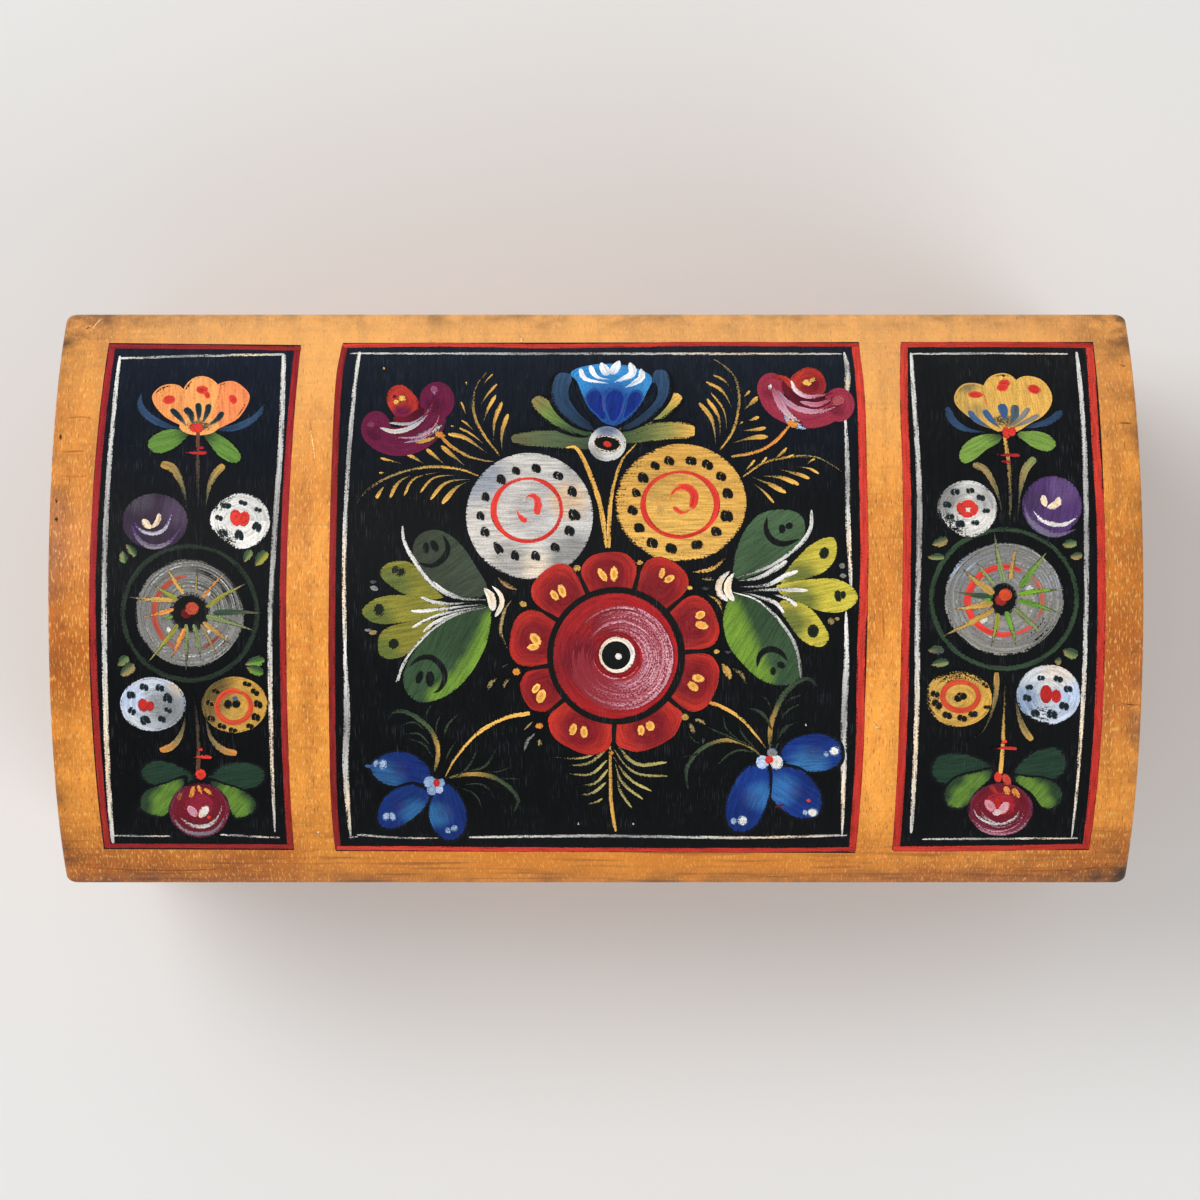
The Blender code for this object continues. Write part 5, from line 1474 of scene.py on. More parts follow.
# %% Leaf fans
FANS = {
    "left": {
        "shade": [FOREST, rgb(64, 74, 60), FOREST],
        "dark": [
            [(413, 546), (418, 536), (427, 531), (438, 530), (450, 535), (463, 547), (475, 565), (487, 593),
             (465, 597), (445, 592), (430, 580), (415, 562)],
            [(488, 606), (468, 609), (446, 620), (424, 638), (409, 660), (403, 678), (407, 693), (419, 702),
             (436, 700), (455, 690), (473, 670), (486, 645), (491, 620)],
        ],
        "lime": [
            [(380, 574), (385, 565), (396, 561), (411, 563), (424, 576), (436, 590), (443, 598), (412, 597),
              (392, 587)],
            [(362, 613), (367, 604), (380, 597), (400, 595), (425, 599), (449, 607), (425, 618), (400, 623),
              (375, 623)],
            [(378, 648), (380, 634), (391, 626), (410, 622), (434, 617), (426, 636), (410, 653), (393, 659),
              (381, 656)],
        ],
        "glow": [
            (494, 622, 16), (491, 638, 19), (483, 654, 20), (471, 670, 19), (456, 684, 17), (438, 695, 14)
        ],
        "eyes": [
            (400, 572, 12, 10, 0), (395, 570, 9, 9, 0), (379, 610, 11, 14, 10), (393.5, 644, 11, 12, 0)
        ],
        "crescents": [
            ([(443, 535), (448, 548), (443, 559), (431, 566), (419, 563)], 6.5),
            ([(409, 667), (418, 659), (430, 657), (441, 665), (445, 677), (440, 689), (433, 693)], 6.5),
        ],
        "pips": [
            (426, 548, 6, 14, 5), (434.5, 546, 7.5, 14, 25), (419.5, 677, 7, 15, -20), (430, 679, 9, 17, 0)
        ],
        "lines": [
            ([(402.5, 526), (404, 541), (415, 562), (433, 585), (455, 597), (487, 600)], 5.5, (0.35, 0.5)),
            ([(433, 581), (445, 591), (463, 598)], 3.4, (0.4, 0.6)),
            ([(421, 597), (432, 602), (450, 604), (472, 602)], 4.6, COMMA),
            ([(411, 611), (425, 611), (450, 608), (486, 604)], 5, COMMA),
            ([(412, 628), (424, 621), (450, 612), (486, 606)], 4.4, COMMA),
            ([(423, 632), (434, 623), (455, 614), (482, 608)], 4.4, COMMA),
            ([(396, 682), (404, 662), (424, 637), (453, 616), (487, 607)], 3.6, (0.5, 0.4)),
            ([(397.5, 681), (402, 668), (409, 658)], 4, COMMA),
        ],
        "tie": [
            ([(484, 588), (491, 597), (493, 611)], 9),
            ([(492, 586), (500, 594), (502, 604), (495, 617)], 5.2),
        ],
    },
    "right": {
        "shade": [rgb(62, 84, 58), rgb(74, 100, 70), rgb(62, 84, 58)],
        "dark": [
            [(735, 578), (734, 562), (738, 545), (747, 527), (760, 514), (780, 509.5), (798, 513),
              (805, 524), (802, 540), (790, 553), (772, 567), (750, 577)],
            [(734, 594), (726, 606), (723, 622), (729, 646), (742, 663), (758, 678), (776, 685), (793, 683),
             (802, 670), (797, 650), (787, 631), (772, 612), (756, 600)],
        ],
        "lime": [
            [(781, 583), (786, 571), (797, 558), (812, 544), (832, 537), (837, 547), (834, 561), (822, 573),
              (800, 580)],
            [(776, 588), (790, 582), (815, 579), (840, 580), (858, 596), (847, 610), (825, 612),
              (800, 603)],
            [(779, 603), (793, 601), (810, 608), (825, 627), (829, 639), (820, 647), (803, 641),
              (789, 624)],
        ],
        "glow": [(730, 612, 18), (732, 630, 24), (739, 646, 24), (751, 662, 20), (764, 676, 14)],
        "eyes": [
            (824, 553, 10, 13, -20), (838, 596, 8, 13, 10), (843, 595, 6, 9, 0), (813, 631, 12, 14, 0)
        ],
        "crescents": [
            ([(767, 517), (766, 530), (772, 540), (784, 544), (800, 539)], 6.5),
            ([(757, 667), (760, 655), (769, 649), (780, 652), (788, 661)], 6.5),
        ],
        "pips": [(782, 529, 7, 10, 0), (789, 526, 8, 7, 20), (773, 671, 6, 9, 0), (781, 665, 10, 7, -30)],
        "lines": [
            ([(811.5, 510), (810, 530), (795, 549), (770, 566), (736, 578)], 5.4, (0.3, 0.6)),
            ([(787, 561), (775, 569), (758, 578), (737, 581)], 7.2, COMMA),
            ([(798, 571), (787, 575), (767, 585), (739, 587)], 6.2, COMMA),
            ([(808, 590.5), (790, 590), (765, 590), (742, 592)], 5.4, COMMA),
            ([(797, 606), (788, 599), (772, 594)], 6, COMMA),
            ([(784, 613), (777, 604), (760, 597), (740, 592)], 5.4, COMMA),
            ([(732, 592), (757, 600), (780, 621), (796, 647), (801, 678)], 4.6, (0.6, 0.15)),
        ],
        "tie": [
            ([(730, 571), (720, 581), (719, 592), (728, 601)], 7),
            ([(734, 573), (728, 583), (728, 592), (734, 601)], 7.5),
        ],
    },
}


def paint_fan(art, at, warm):
    art.begin(2)
    upper, lower = at["dark"]
    art.patch(upper, at["shade"], run=35, cover=0.97)
    glow = [(*spot, rgb(114, 150, 52), 0.85) for spot in at["glow"]]
    art.patch(lower, [rgb(48, 68, 46), rgb(56, 80, 54), rgb(48, 68, 46)], run=60, cover=0.97, spots=glow)
    for outline in at["lime"]:
        x, y = outline[-1]
        art.patch(outline, warm, run=10, cover=0.96, spots=((x, y, 26, rgb(92, 106, 52), 0.9),))
    art.dabs(at["eyes"], rgb(24, 32, 24), under=LIME, cover=0.95)
    art.strokes(at["crescents"], JET, (0.7, 0.7), under=MOSS)
    art.dabs(at["pips"], JET, under=MOSS)
    for points, width, taper in at["lines"]:
        art.stroke(points, width * 0.76, [WHITE, PEARL, GREY], taper, cover=[1, 0.9, 0.85], under=FOREST)
    art.strokes(at["tie"], [WHITE, CREAM, WHITE], (0.7, 0.5))


OLIVE = [rgb(140, 134, 52), rgb(128, 124, 50), rgb(140, 134, 52)]
MUSTARD = [rgb(208, 192, 70), rgb(192, 178, 66), rgb(208, 192, 70)]
paint_fan(centre_art, FANS["left"], OLIVE)
paint_fan(centre_art, FANS["right"], MUSTARD)

# %% [markdown]
# ### Rosettes
# A rosette is one round, uneven patch with stains of what was under it, a red ring that the brush
# pressed harder in two places, a swirl in the middle and a wreath of black dashes.

# %% Rosettes
ROSETTES = {
    "white": {
        "place": (529.5, 516, 127, 126),
        "colours": [rgb(192, 190, 186), rgb(202, 196, 188), rgb(192, 190, 186)],
        "stains": [
            (574, 520, 30, 3), (560, 528, 24, 2), (568, 508, 20, 2.4), (530, 514, 26, 1.8),
            (500, 536, 20, 1.6),
        ],
        "tint": [
            (574, 560, 36, GREY, 0.8), (478, 476, 40, rgb(134, 142, 156), 0.8),
            (568, 500, 26, rgb(216, 180, 140), 0.8),
            (535, 566, 20, CREAM, 0.6), (528, 512, 24, rgb(170, 166, 164), 0.7), (500, 560, 22, None, 0.2),
            (540, 486, 20, rgb(170, 166, 164), 0.5), (510, 560, 26, GREY, 0.5), (575, 470, 18, GREY, 0.5),
        ],
        "ring": (527.5, 510, 68, 63, 100, 364, 4.2),
        "heavy": [(120, 120, 6.4), (20, 60, 5)],
        "swirls": [
            ([(521, 503), (531, 495), (538, 501), (537, 515)], 8.5),
            ([(516, 508), (519, 516), (527, 522)], 6),
        ],
        "dots": [
            (485.5, 497, 7, 10, 0), (480.5, 516, 7, 9, 0), (485, 532, 8, 10, 0), (498, 548, 7, 14, 30),
            (515, 555.5, 7, 10, 0), (535.5, 556, 8, 10, 0), (555, 547.5, 8, 9, 0), (569.5, 531, 9, 10, 0),
            (574, 515, 10, 12, 20), (572, 491.5, 8, 11, 0), (558, 476, 9, 8, 0), (536, 468.5, 8, 9, 0),
            (516, 471, 7, 8, 0), (501, 479.5, 8, 10, 0),
        ],
    },
    "yellow": {
        "place": (680.4, 503, 132, 118),
        "colours": [CORN, rgb(212, 160, 78), rgb(226, 176, 88), CORN],
        "tint": [
            (622, 462, 40, None, 0.3), (614, 500, 22, None, 0.3), (622, 545, 40, None, 0.3),
            (690, 566, 30, None, 0.25),
            (740, 545, 24, None, 0.25), (650, 440, 24, None, 0.3), (654, 486, 22, OCHRE, 0.8),
        ],
        "stains": [(660, 510, 8, 10), (690, 530, 30, 2), (700, 480, 26, 1.8), (650, 496, 20, 2)],
        "ring": (680, 504.5, 74, 65, 110, 364, 4.4),
        "heavy": [(-50, 120, 6.6), (150, 90, 6)],
        "swirls": [
            ([(668, 504), (674, 491), (685, 487), (694, 494), (692, 509)], 9),
            ([(693, 507), (683, 513), (673, 507)], 5),
        ],
        "dots": [
            (691, 461, 10, 9, 0), (707.5, 465, 10, 9, -20), (721, 476.5, 9, 9, 0),
            (727.5, 493.5, 9, 11, 10),
            (726.5, 516, 11, 12, 10), (716, 531.5, 9, 10, 20), (697, 545, 11, 9, 20),
            (671, 548.5, 10, 10, 0),
            (652, 543, 10, 10, 0), (639, 528, 9, 10, 20), (632.5, 510.5, 9, 9, -10), (636, 493, 7, 10, 20),
            (643, 478, 9, 11, 10), (655, 466, 8, 8, 0), (669, 461, 9, 9, 0),
        ],
    },
}


def paint_rosette(art, at):
    art.begin(2)
    art.patch(ellipse(*at["place"], count=20), at["colours"], run=0, cover=0.95, spots=at["tint"])
    under = at["colours"][1]
    for stain in at["stains"]:
        art.dab(*stain, 0, rgb(176, 146, 106), under=under, cover=0.62, soft=0.6)
    x, y, width, height, start, sweep, thick = at["ring"]
    colour = [SCARLET, rgb(200, 46, 40), SCARLET]
    art.stroke(ellipse(x, y, width, height, 0, start, sweep, 16), thick, colour, (0.06, 0.14), under=under)
    for start, sweep, thick in at["heavy"]:
        art.stroke(ellipse(x, y, width, height, 0, start, sweep, 8), thick, colour[0], (0.5, 0.5))
    for points, thick in at["swirls"]:
        art.stroke(points, thick, SCARLET, (0.9, 0.3), under=under, cover=[0.7, 1])
    art.dashes(at["dots"], JET, under)


paint_rosette(centre_art, ROSETTES["white"])
paint_rosette(centre_art, ROSETTES["yellow"])

# %% [markdown]
# ### The blue tulip
# Broad strokes make its leaves: each is one pull that starts yellow and ends green, with soft
# edges. The cup is a blue patch with a dark heart, and white teeth hang into it from the rim.

# %% Blue tulip
TULIP_BASE = (607, 444)
BLUE_TULIP = {
    "leaves": [
        ([(511, 439), (550, 439), (595, 444)], 28, [rgb(100, 100, 68), rgb(84, 98, 68), rgb(60, 76, 56)],
           (0.3, 0.2)),
        ([(534, 398), (556, 416), (592, 434)], 30, [STRAW, rgb(118, 144, 72), rgb(72, 94, 62), MOSS],
           (0.3, 0.4)),
        ([(680, 395), (657, 413), (618, 433)], 25, [YELLOW, rgb(150, 150, 80), SAGE, MOSS], (0.25, 0.4)),
        ([(695, 431), (665, 431), (618, 439)], 29, [YELLOW, rgb(152, 148, 82), rgb(96, 110, 66), MOSS],
           (0.2, 0.25)),
    ],
    "sepals": [
        ([(565, 373), (562, 395), (574, 415), (594, 431)], 30, (0.25, 0.5)),
        ([(660, 370), (660, 392), (646, 412), (622, 431)], 28, (0.25, 0.5)),
    ],
    "inner_sepals": [
        ([(573, 382), (573, 396), (582, 412), (594, 425)], 9, (0.4, 0.7)),
        ([(654, 383), (653, 396), (641, 411), (626, 425)], 9, (0.4, 0.7)),
    ],
    "cup": [(571, 373), (588, 366), (614, 364), (638, 369), (652, 378), (647, 392), (637, 410), (624, 422),
            (613, 426), (600, 420), (588, 407), (581, 392), (577, 382)],
    "petals": [
        [(585, 398), (590, 390), (598, 389), (603, 396), (605, 410), (606, 423), (597, 416), (588, 407)],
        [(628, 396), (634, 390), (641, 391), (643, 399), (636, 410), (626, 419), (622, 422), (625, 408)],
        [(604, 400), (608, 391), (616, 388), (624, 393), (625, 404), (620, 417), (613, 425), (607, 417)],
    ],
    "veins": [([(603, 392), (604, 412)], 2.2), ([(625, 398), (621, 415)], 2.2)],
    "teeth": [
        ([(580, 369), (585, 379), (609, 384)], 4.6, COMMA),
        ([(590, 366), (596, 377), (610, 380)], 4.6, COMMA),
        ([(601, 363), (608, 376)], 8.5, PETAL), ([(619.5, 361), (612, 375)], 8, PETAL),
        ([(630, 363), (632, 374), (614, 383)], 7, (0.6, 1.0)),
        ([(641, 369), (641, 379), (625, 388)], 6.2, (0.6, 0.9)),
    ],
}


def paint_blue_tulip(art, at):
    art.begin(3)
    art.strokes(at["leaves"], cover=[0.85, 0.95, 0.8], soft=0.25)
    for points, width, taper in at["sepals"]:
        tints = [rgb(54, 82, 114), rgb(44, 68, 96), rgb(30, 46, 64)]
        art.stroke(points, width, tints, taper, cover=[0.95, 0.9, 0.8], soft=0.3)
    for points, width, taper in at["inner_sepals"]:
        art.stroke(points, width, rgb(16, 24, 38), taper, soft=0.5)
    art.patch(
        at["cup"], [SKY, rgb(66, 152, 218), SKY], cover=0.98, spots=((612, 408, 42, rgb(36, 66, 142), 1.0),)
    )
    for outline in at["petals"]:
        art.patch(outline, [NAVY, rgb(26, 50, 128)], run=80, under=BLUE, cover=0.97, soft=0.25)
    art.strokes(at["veins"], rgb(112, 60, 140), LINER, under=BLUE, cover=0.7)
    for points, width, taper in at["teeth"]:
        art.stroke(points, width * 1.2, [rgb(255, 255, 255), rgb(250, 252, 255), ICE], taper, under=SKY)
    x, y = TULIP_BASE
    art.patch(
        ellipse(x, y, 38, 35), PEARL, cover=0.95,
        spots=((x, y - 15, 16, SLATE, 0.8), (x - 14, y + 12, 14, GREY, 0.7)),
    )
    art.patch(ellipse(x, y, 26, 15, -8), JET)
    art.stroke(ellipse(x, y, 27, 15, -8), 1.8, CREAM, (0, 0), closed=True, cover=0.9)
    art.dab(x, y + 0.5, 9, 6, -20, SCARLET)


paint_blue_tulip(centre_art, BLUE_TULIP)

# %% [markdown]
# ### Wine-red roses
# Their balls and lobes are soft patches of one deep colour, so that they melt together. What gives
# them form is laid on top: a lit bulb, and thin pale rims pulled round the heart.

# %% Wine-red roses
ROSES = {
    "left": {
        "bulb": [
            (388, 393), (394, 386), (402, 385), (411, 391), (419, 404), (414, 416), (401, 421), (392, 412),
            (387, 402),
        ],
        "bulb_tint": [(402, 414, 15, PLUM, 0.9)],
        "lobes": [
            ([(370, 426), (382, 440), (404, 444), (426, 434), (440, 414)], 27, (0.15, 0.2)),
        ],
        "balls": [(437, 401, 35, 38), (376, 429, 30, 36)],
        "heart": [([(383, 428), (402, 432), (425, 420)], 10), ([(393, 418), (408, 422), (424, 408)], 13)],
        "rims": [
            ([(389, 423), (411, 424), (425, 416), (435, 400)], 4, [PEARL, LILAC, PLUM]),
            ([(380, 428), (396, 432), (416, 425), (432, 410)], 5.6, [WHITE, PEARL, LILAC]),
            ([(398, 438), (420, 437), (436, 424), (440, 406)], 3.4, [LILAC, PINK, PLUM]),
            ([(404, 443), (424, 438), (437, 425)], 2.4, [LILAC, PINK]),
        ],
        "calyx": [
            ([(415, 437), (428, 433), (438, 423)], 7.5, GREY),
            ([(430, 434), (439, 428), (444, 424)], 4, PEARL),
            ([(415, 443), (426, 441), (437, 436)], 5, OCHRE),
            ([(436, 431), (441, 436), (446, 436)], 8, ORANGE),
        ],
        "lights": [
            (434, 390, 8, 9, 20, rgb(140, 76, 112)), (434, 393, 2, 6, 20, LILAC),
            (371, 425, 8, 7, 0, rgb(122, 56, 88)),
        ],
        "seeds": [
            (402, 398.5, 8, 8, 0, YELLOW), (396, 402.5, 6, 5, 0, YELLOW), (394.5, 397, 4, 4, 0, PLUM)
        ],
    },
    "right": {
        "bulb": [
            (790, 380), (797, 372), (810, 367.5), (821, 373), (826, 385), (823, 394), (812, 399),
            (799, 395), (791, 388),
        ],
        "bulb_tint": [(812, 386, 16, WINE, 0.9)],
        "lobes": [
            ([(769, 386), (774, 402), (790, 413), (814, 417), (842, 407)], 27, (0.15, 0.15)),
        ],
        "balls": [(771, 389, 28, 32), (839, 405, 31, 34)],
        "heart": [([(787, 394), (806, 404), (832, 401)], 14), ([(783, 381), (794, 395), (814, 403)], 15)],
        "rims": [
            ([(772, 377), (785, 379), (791, 387), (797, 393)], 7, [BRICK, rgb(206, 66, 50), BRICK]),
            ([(791, 381), (796, 391), (809, 397), (834, 393)], 5.5, [WHITE, PINK, rgb(176, 84, 104)]),
            ([(800, 402), (817, 405), (836, 397)], 6, [PINK, rgb(190, 104, 124), rgb(160, 66, 84)]),
            ([(777, 390), (785, 401), (798, 409), (819, 412), (843, 404)], 7, [LILAC, PINK, PINK,
               rgb(170, 76, 96)]),
            ([(773, 388), (779, 401), (788, 415), (803, 424)], 9, [rgb(176, 90, 110), PINK, WHITE]),
        ],
        "calyx": [
            ([(784, 416), (792, 424), (807, 429)], 7, ICE),
            ([(787, 421), (792, 424), (798, 428)], 8, ORANGE),
        ],
        "lights": [(770, 387, 4, 6, 0, WHITE), (838, 401, 14, 10, 20, rgb(176, 84, 92))],
        "seeds": [(806.5, 383, 10, 7, -10, YELLOW), (812, 380.5, 8, 5, 20, YELLOW)],
    },
}


def paint_wine_rose(art, at, deep):
    art.begin(2)
    dim = Vector(deep) * 0.45
    for points, width, taper in at["lobes"]:
        art.stroke(points, width, deep, taper, soft=0.6, under=deep)
    for x, y, width, height in at["balls"]:
        shade = ((x - 4, y + 8, width * 0.5, dim, 0.6),)
        art.patch(ellipse(x, y, width, height), deep, cover=1, soft=0.6, under=deep, spots=shade)
    art.patch(
        at["bulb"], [rgb(190, 60, 48), rgb(176, 50, 44), rgb(190, 60, 48)], cover=0.97,
        spots=at["bulb_tint"],
    )
    art.strokes(at["heart"], [WINE, rgb(70, 20, 36)], (0.6, 0.6), under=WINE)
    art.strokes(at["calyx"], ROUND, cover=[0.8, 0.95, 0.7])
    art.strokes(at["rims"], (0.5, 0.7), under=WINE, cover=[1, 0.95, 0.6])
    art.dabs(at["lights"] + at["seeds"], under=WINE, cover=0.9)


RIGHT_ROSE = rgb(156, 50, 70)
paint_wine_rose(centre_art, ROSES["left"], PLUM)
paint_wine_rose(centre_art, ROSES["right"], RIGHT_ROSE)

# %% [markdown]
# ### Blue blossoms
# Three petals each, brushed from the outside in, with a lighter haze on one flank. The white marks
# at their tips are thin, so that the blue shows through.

# %% Blue blossoms
HAZE = rgb(140, 168, 202)
SOFT_RIM = 1.1  # the outlines lie where the blue is full, so the petals grow by their soft rims
BLUE_BLOSSOMS = {
    "left": {
        "petals": [
            ([(371, 763), (384, 754), (402, 751), (418, 757), (431, 771), (427, 781), (408, 785),
               (388, 785), (373, 775)], 170, (384, 779, 26, rgb(50, 100, 150), 0.8)),
            ([(430, 795), (420, 812), (400, 826), (384, 828), (377, 817), (383, 799), (396, 788),
               (415, 784)], 40, (415, 812, 20, rgb(54, 116, 170), 0.7)),
            ([(432, 797), (429, 815), (436, 832), (448, 840), (461, 835), (467, 817), (461, 797),
               (448, 783), (438, 789)], 100, (436, 815, 20, rgb(50, 110, 164), 0.8)),
        ],
        "tip": ([(372, 766), (365, 766)], 4),
        "white": [
            (376, 763, 6, 10, -30), (383, 764, 9, 13, -5), (386, 816, 8, 11, -20), (392.5, 816, 7, 12, 25),
            (448, 830, 7, 8, 0), (454.5, 828, 8, 8, 0),
        ],
        "eye": [
            (430, 782, 13, 13, 0, HAZE), (432, 790, 11, 10, 0, HAZE), (439, 789, 9, 9, 0, ICE),
            (441, 782.5, 8, 9, 0, HAZE),
        ],
        "spot": (436.5, 782.5, 7, 8.5, 0, RED),
        "freckles": [],
    },
    "right": {
        "petals": [
            ([(781, 758), (785, 744), (800, 736), (820, 733.5), (836, 739), (842, 750), (839, 764),
               (822, 771), (800, 770)], 5, (808, 766, 26, rgb(60, 118, 170), 0.8)),
            ([(770, 768), (786, 766), (802, 770), (816, 784), (822, 799), (817, 815), (800, 818),
               (783, 810), (770, 796)], 140, (780, 790, 24, rgb(56, 116, 180), 0.8)),
            ([(768, 768), (756, 764), (744, 769), (731, 789), (725, 810), (729, 826), (741, 832),
               (756, 825), (766, 806), (770, 788)], 75, (762, 796, 22, rgb(56, 116, 180), 0.85)),
        ],
        "tip": ([(806, 800), (810, 800)], 3),
        "white": [
            (834.5, 751, 12, 12, 0), (826, 754, 6, 8, 20), (812.5, 812, 12, 11, 0), (805, 812, 6, 7, 0),
            (742.5, 820, 11, 12, 0), (733.5, 820.5, 7, 9, 0),
        ],
        "eye": [
            (772, 752.5, 11, 10, 0, GREY), (762.5, 762, 13, 14, 0, ICE), (776.5, 762, 13, 15, 0, WHITE)
        ],
        "spot": (769, 759.5, 9, 8, 0, SCARLET),
        "freckles": [(808.5, 800, 4.5, 3.5, 0, SCARLET), (779, 805.5, 11, 2.2, 15, OXBLOOD)],
    },
}


def paint_blue_blossom(art, at, blue):
    art.begin(3)
    for outline, run, light in at["petals"]:
        x = sum(px for px, _ in outline) / len(outline)
        y = sum(py for _, py in outline) / len(outline)
        outline = [(x + (px - x) * SOFT_RIM, y + (py - y) * SOFT_RIM) for px, py in outline]
        spots = (light, (x, y, 12, rgb(46, 34, 96), 0.4))
        art.patch(outline, [blue, rgb(20, 44, 112), blue], run=run, cover=0.98, spots=spots, soft=0.22)
    points, width = at["tip"]
    art.stroke(points, width, SLATE, ROUND)
    for x, y, width, height, tilt in at["white"]:
        tint = WHITE if width > 10 else rgb(160, 180, 210)
        art.dab(x, y, width * 0.95, height * 0.9, tilt, tint, under=SLATE, cover=0.72)
    art.dabs(at["eye"], under=BLUE, cover=0.9)
    art.dabs([at["spot"]] + at["freckles"])


paint_blue_blossom(centre_art, BLUE_BLOSSOMS["left"], rgb(22, 50, 110))
paint_blue_blossom(centre_art, BLUE_BLOSSOMS["right"], rgb(26, 60, 140))

# %% [markdown]
# ### The red blossom
# Nine petals are wedges between two radii, and black lines are pulled over their seams. The heart
# is a red disc with a glow and dozens of thin turns of a nearly dry brush, each of its own length.

# %% The red blossom
BLOSSOM_MIDDLE = (616, 655.5)
BLOSSOM_PETALS = [  # from, to, how far out, and the two seeds
    (74.6, 114.6, 103, (602.5, 575, 7, 16, 32), (614, 574, 8, 16, 0)),
    (41, 74.6, 109, (662, 573, 6, 12, -15), (669, 579, 12, 7, 28)),
    (3, 41, 107, (700, 615, 11, 8, 25), (701.5, 625, 14, 8, -15)),
    (-39, 3, 105, (698, 678, 13, 8, -12), (693, 686, 13, 8, -38)),
    (-91.5, -39, 99, (641, 730, 7, 12, 0), (650, 725.5, 9, 11, 20)),
    (-140, -91.5, 103, (573, 729, 7.5, 13, -18), (584, 731.5, 7.5, 13, 3)),
    (-171.5, -140, 101, (536, 688, 6.5, 12, -38), (541, 696, 9, 15, -20)),
    (148.8, 188.5, 107, (535.5, 639, 9, 15, 42), (533, 647, 13, 7, 5)),
    (114.6, 148.8, 110, (554.5, 595.5, 7, 13, 38), (562, 591, 7.5, 15, 22)),
]
PETAL_EDGE = [
    (0.03, 60), (0.035, 88), (0.1, 0.93), (0.3, 1), (0.7, 1), (0.9, 0.93), (0.965, 88), (0.97, 60)
]
SWIRLS = 44
DEEP_RED = rgb(130, 32, 38)
GLOW_RED = rgb(146, 50, 60)
PETAL_REDS = [rgb(208, 58, 42), rgb(192, 50, 40), rgb(208, 58, 42)]
DISC_REDS = [rgb(170, 30, 34), rgb(146, 34, 36), rgb(170, 30, 34)]
SEED_YELLOW = rgb(246, 190, 94)
SWIRL_PINKS = [PINK, rgb(222, 180, 188), rgb(196, 120, 136), rgb(174, 84, 98), rgb(190, 104, 118)]


def paint_red_blossom(art, dice):
    art.begin(4)
    x, y = BLOSSOM_MIDDLE
    for start, end, reach, *seeds in BLOSSOM_PETALS:
        outline = []
        for share, radius in PETAL_EDGE:
            angle = math.radians(start + (end - start) * share)
            radius *= 1 if radius > 2 else reach
            outline.append((x + radius * math.cos(angle), y - radius * math.sin(angle)))
        middle = math.radians((start + end) / 2)
        dark = (x + 80 * math.cos(middle), y - 80 * math.sin(middle), 34, rgb(122, 26, 34), 0.95)
        art.patch(outline, PETAL_REDS, cover=0.98, spots=(dark,))
        for left, low, width, height, tilt in seeds:
            art.dab(left, low, width, height, tilt, SEED_YELLOW, under=OXBLOOD)
            width, height = width * 0.42, height * 0.6
            art.dab(left, low, width, height, tilt, rgb(232, 150, 66), under=SEED_YELLOW)
    for start, *_ in BLOSSOM_PETALS:
        way = Vector((math.cos(math.radians(start)), -math.sin(math.radians(start))))
        ends = [(x + way.x * radius, y + way.y * radius) for radius in (62, 94)]
        art.stroke(ends, 5, JET, (0.04, 0.4))
    art.patch(ellipse(x, y, 138, 137, count=20), JET)
    dark = (x - 34, y + 4, 34, rgb(116, 26, 38), 0.95)
    art.patch(ellipse(x - 0.5, y, 125, 125, count=20), DISC_REDS, cover=0.98, spots=(dark,))
    glow = [DEEP_RED, GLOW_RED, rgb(200, 134, 148), rgb(206, 146, 158), rgb(158, 66, 78), DEEP_RED]
    points = ellipse(x + 6, y + 2, 76, 76, 0, -150, 290, 16)
    art.stroke(points, 30, glow, (0.3, 0.3), soft=0.7, under=DEEP_RED)
    for i in range(SWIRLS):
        radius = 23 + 29 * i / SWIRLS
        tint = dice.choice(SWIRL_PINKS)
        colour = [DEEP_RED, rgb(140, 42, 50), tint, rgb(216, 164, 176), tint, DEEP_RED]
        start, sweep = dice.uniform(-200, -150), dice.uniform(240, 320)
        points = ellipse(x + 5, y + 2, radius * 2, radius * 2, 0, start, sweep, 16)
        art.stroke(points, dice.uniform(1.4, 3.4), colour, ROUND, under=GLOW_RED, cover=0.85)
    art.stroke(ellipse(x + 1, y - 1, 42, 42, 0, 180, 350), 3.4, rgb(140, 26, 34), (0.1, 0.1))
    art.stroke(ellipse(x + 1, y - 1, 48, 48, 0, 190, 150), 2.0, PINK, (0.5, 0.5), under=RED, cover=0.8)
    art.patch(ellipse(x + 1, y - 1, 36, 36), [WHITE, CREAM, WHITE])
    art.patch(ellipse(x, y - 0.5, 29, 28.5), JET)
    art.dab(x + 2.5, y + 0.5, 7, 7, 0, WHITE)


paint_red_blossom(centre_art, random.Random(11))
centre_art.hang("centre_panel_painting", oil_paint, "lid", bend)

# %% [markdown]
# ## Marks of use in the lid
# A brad's hole near one corner, scratches, chips along the ends and specks of paint are what the years
# left. Each is a small stroke of its own, in the colour that shows there.

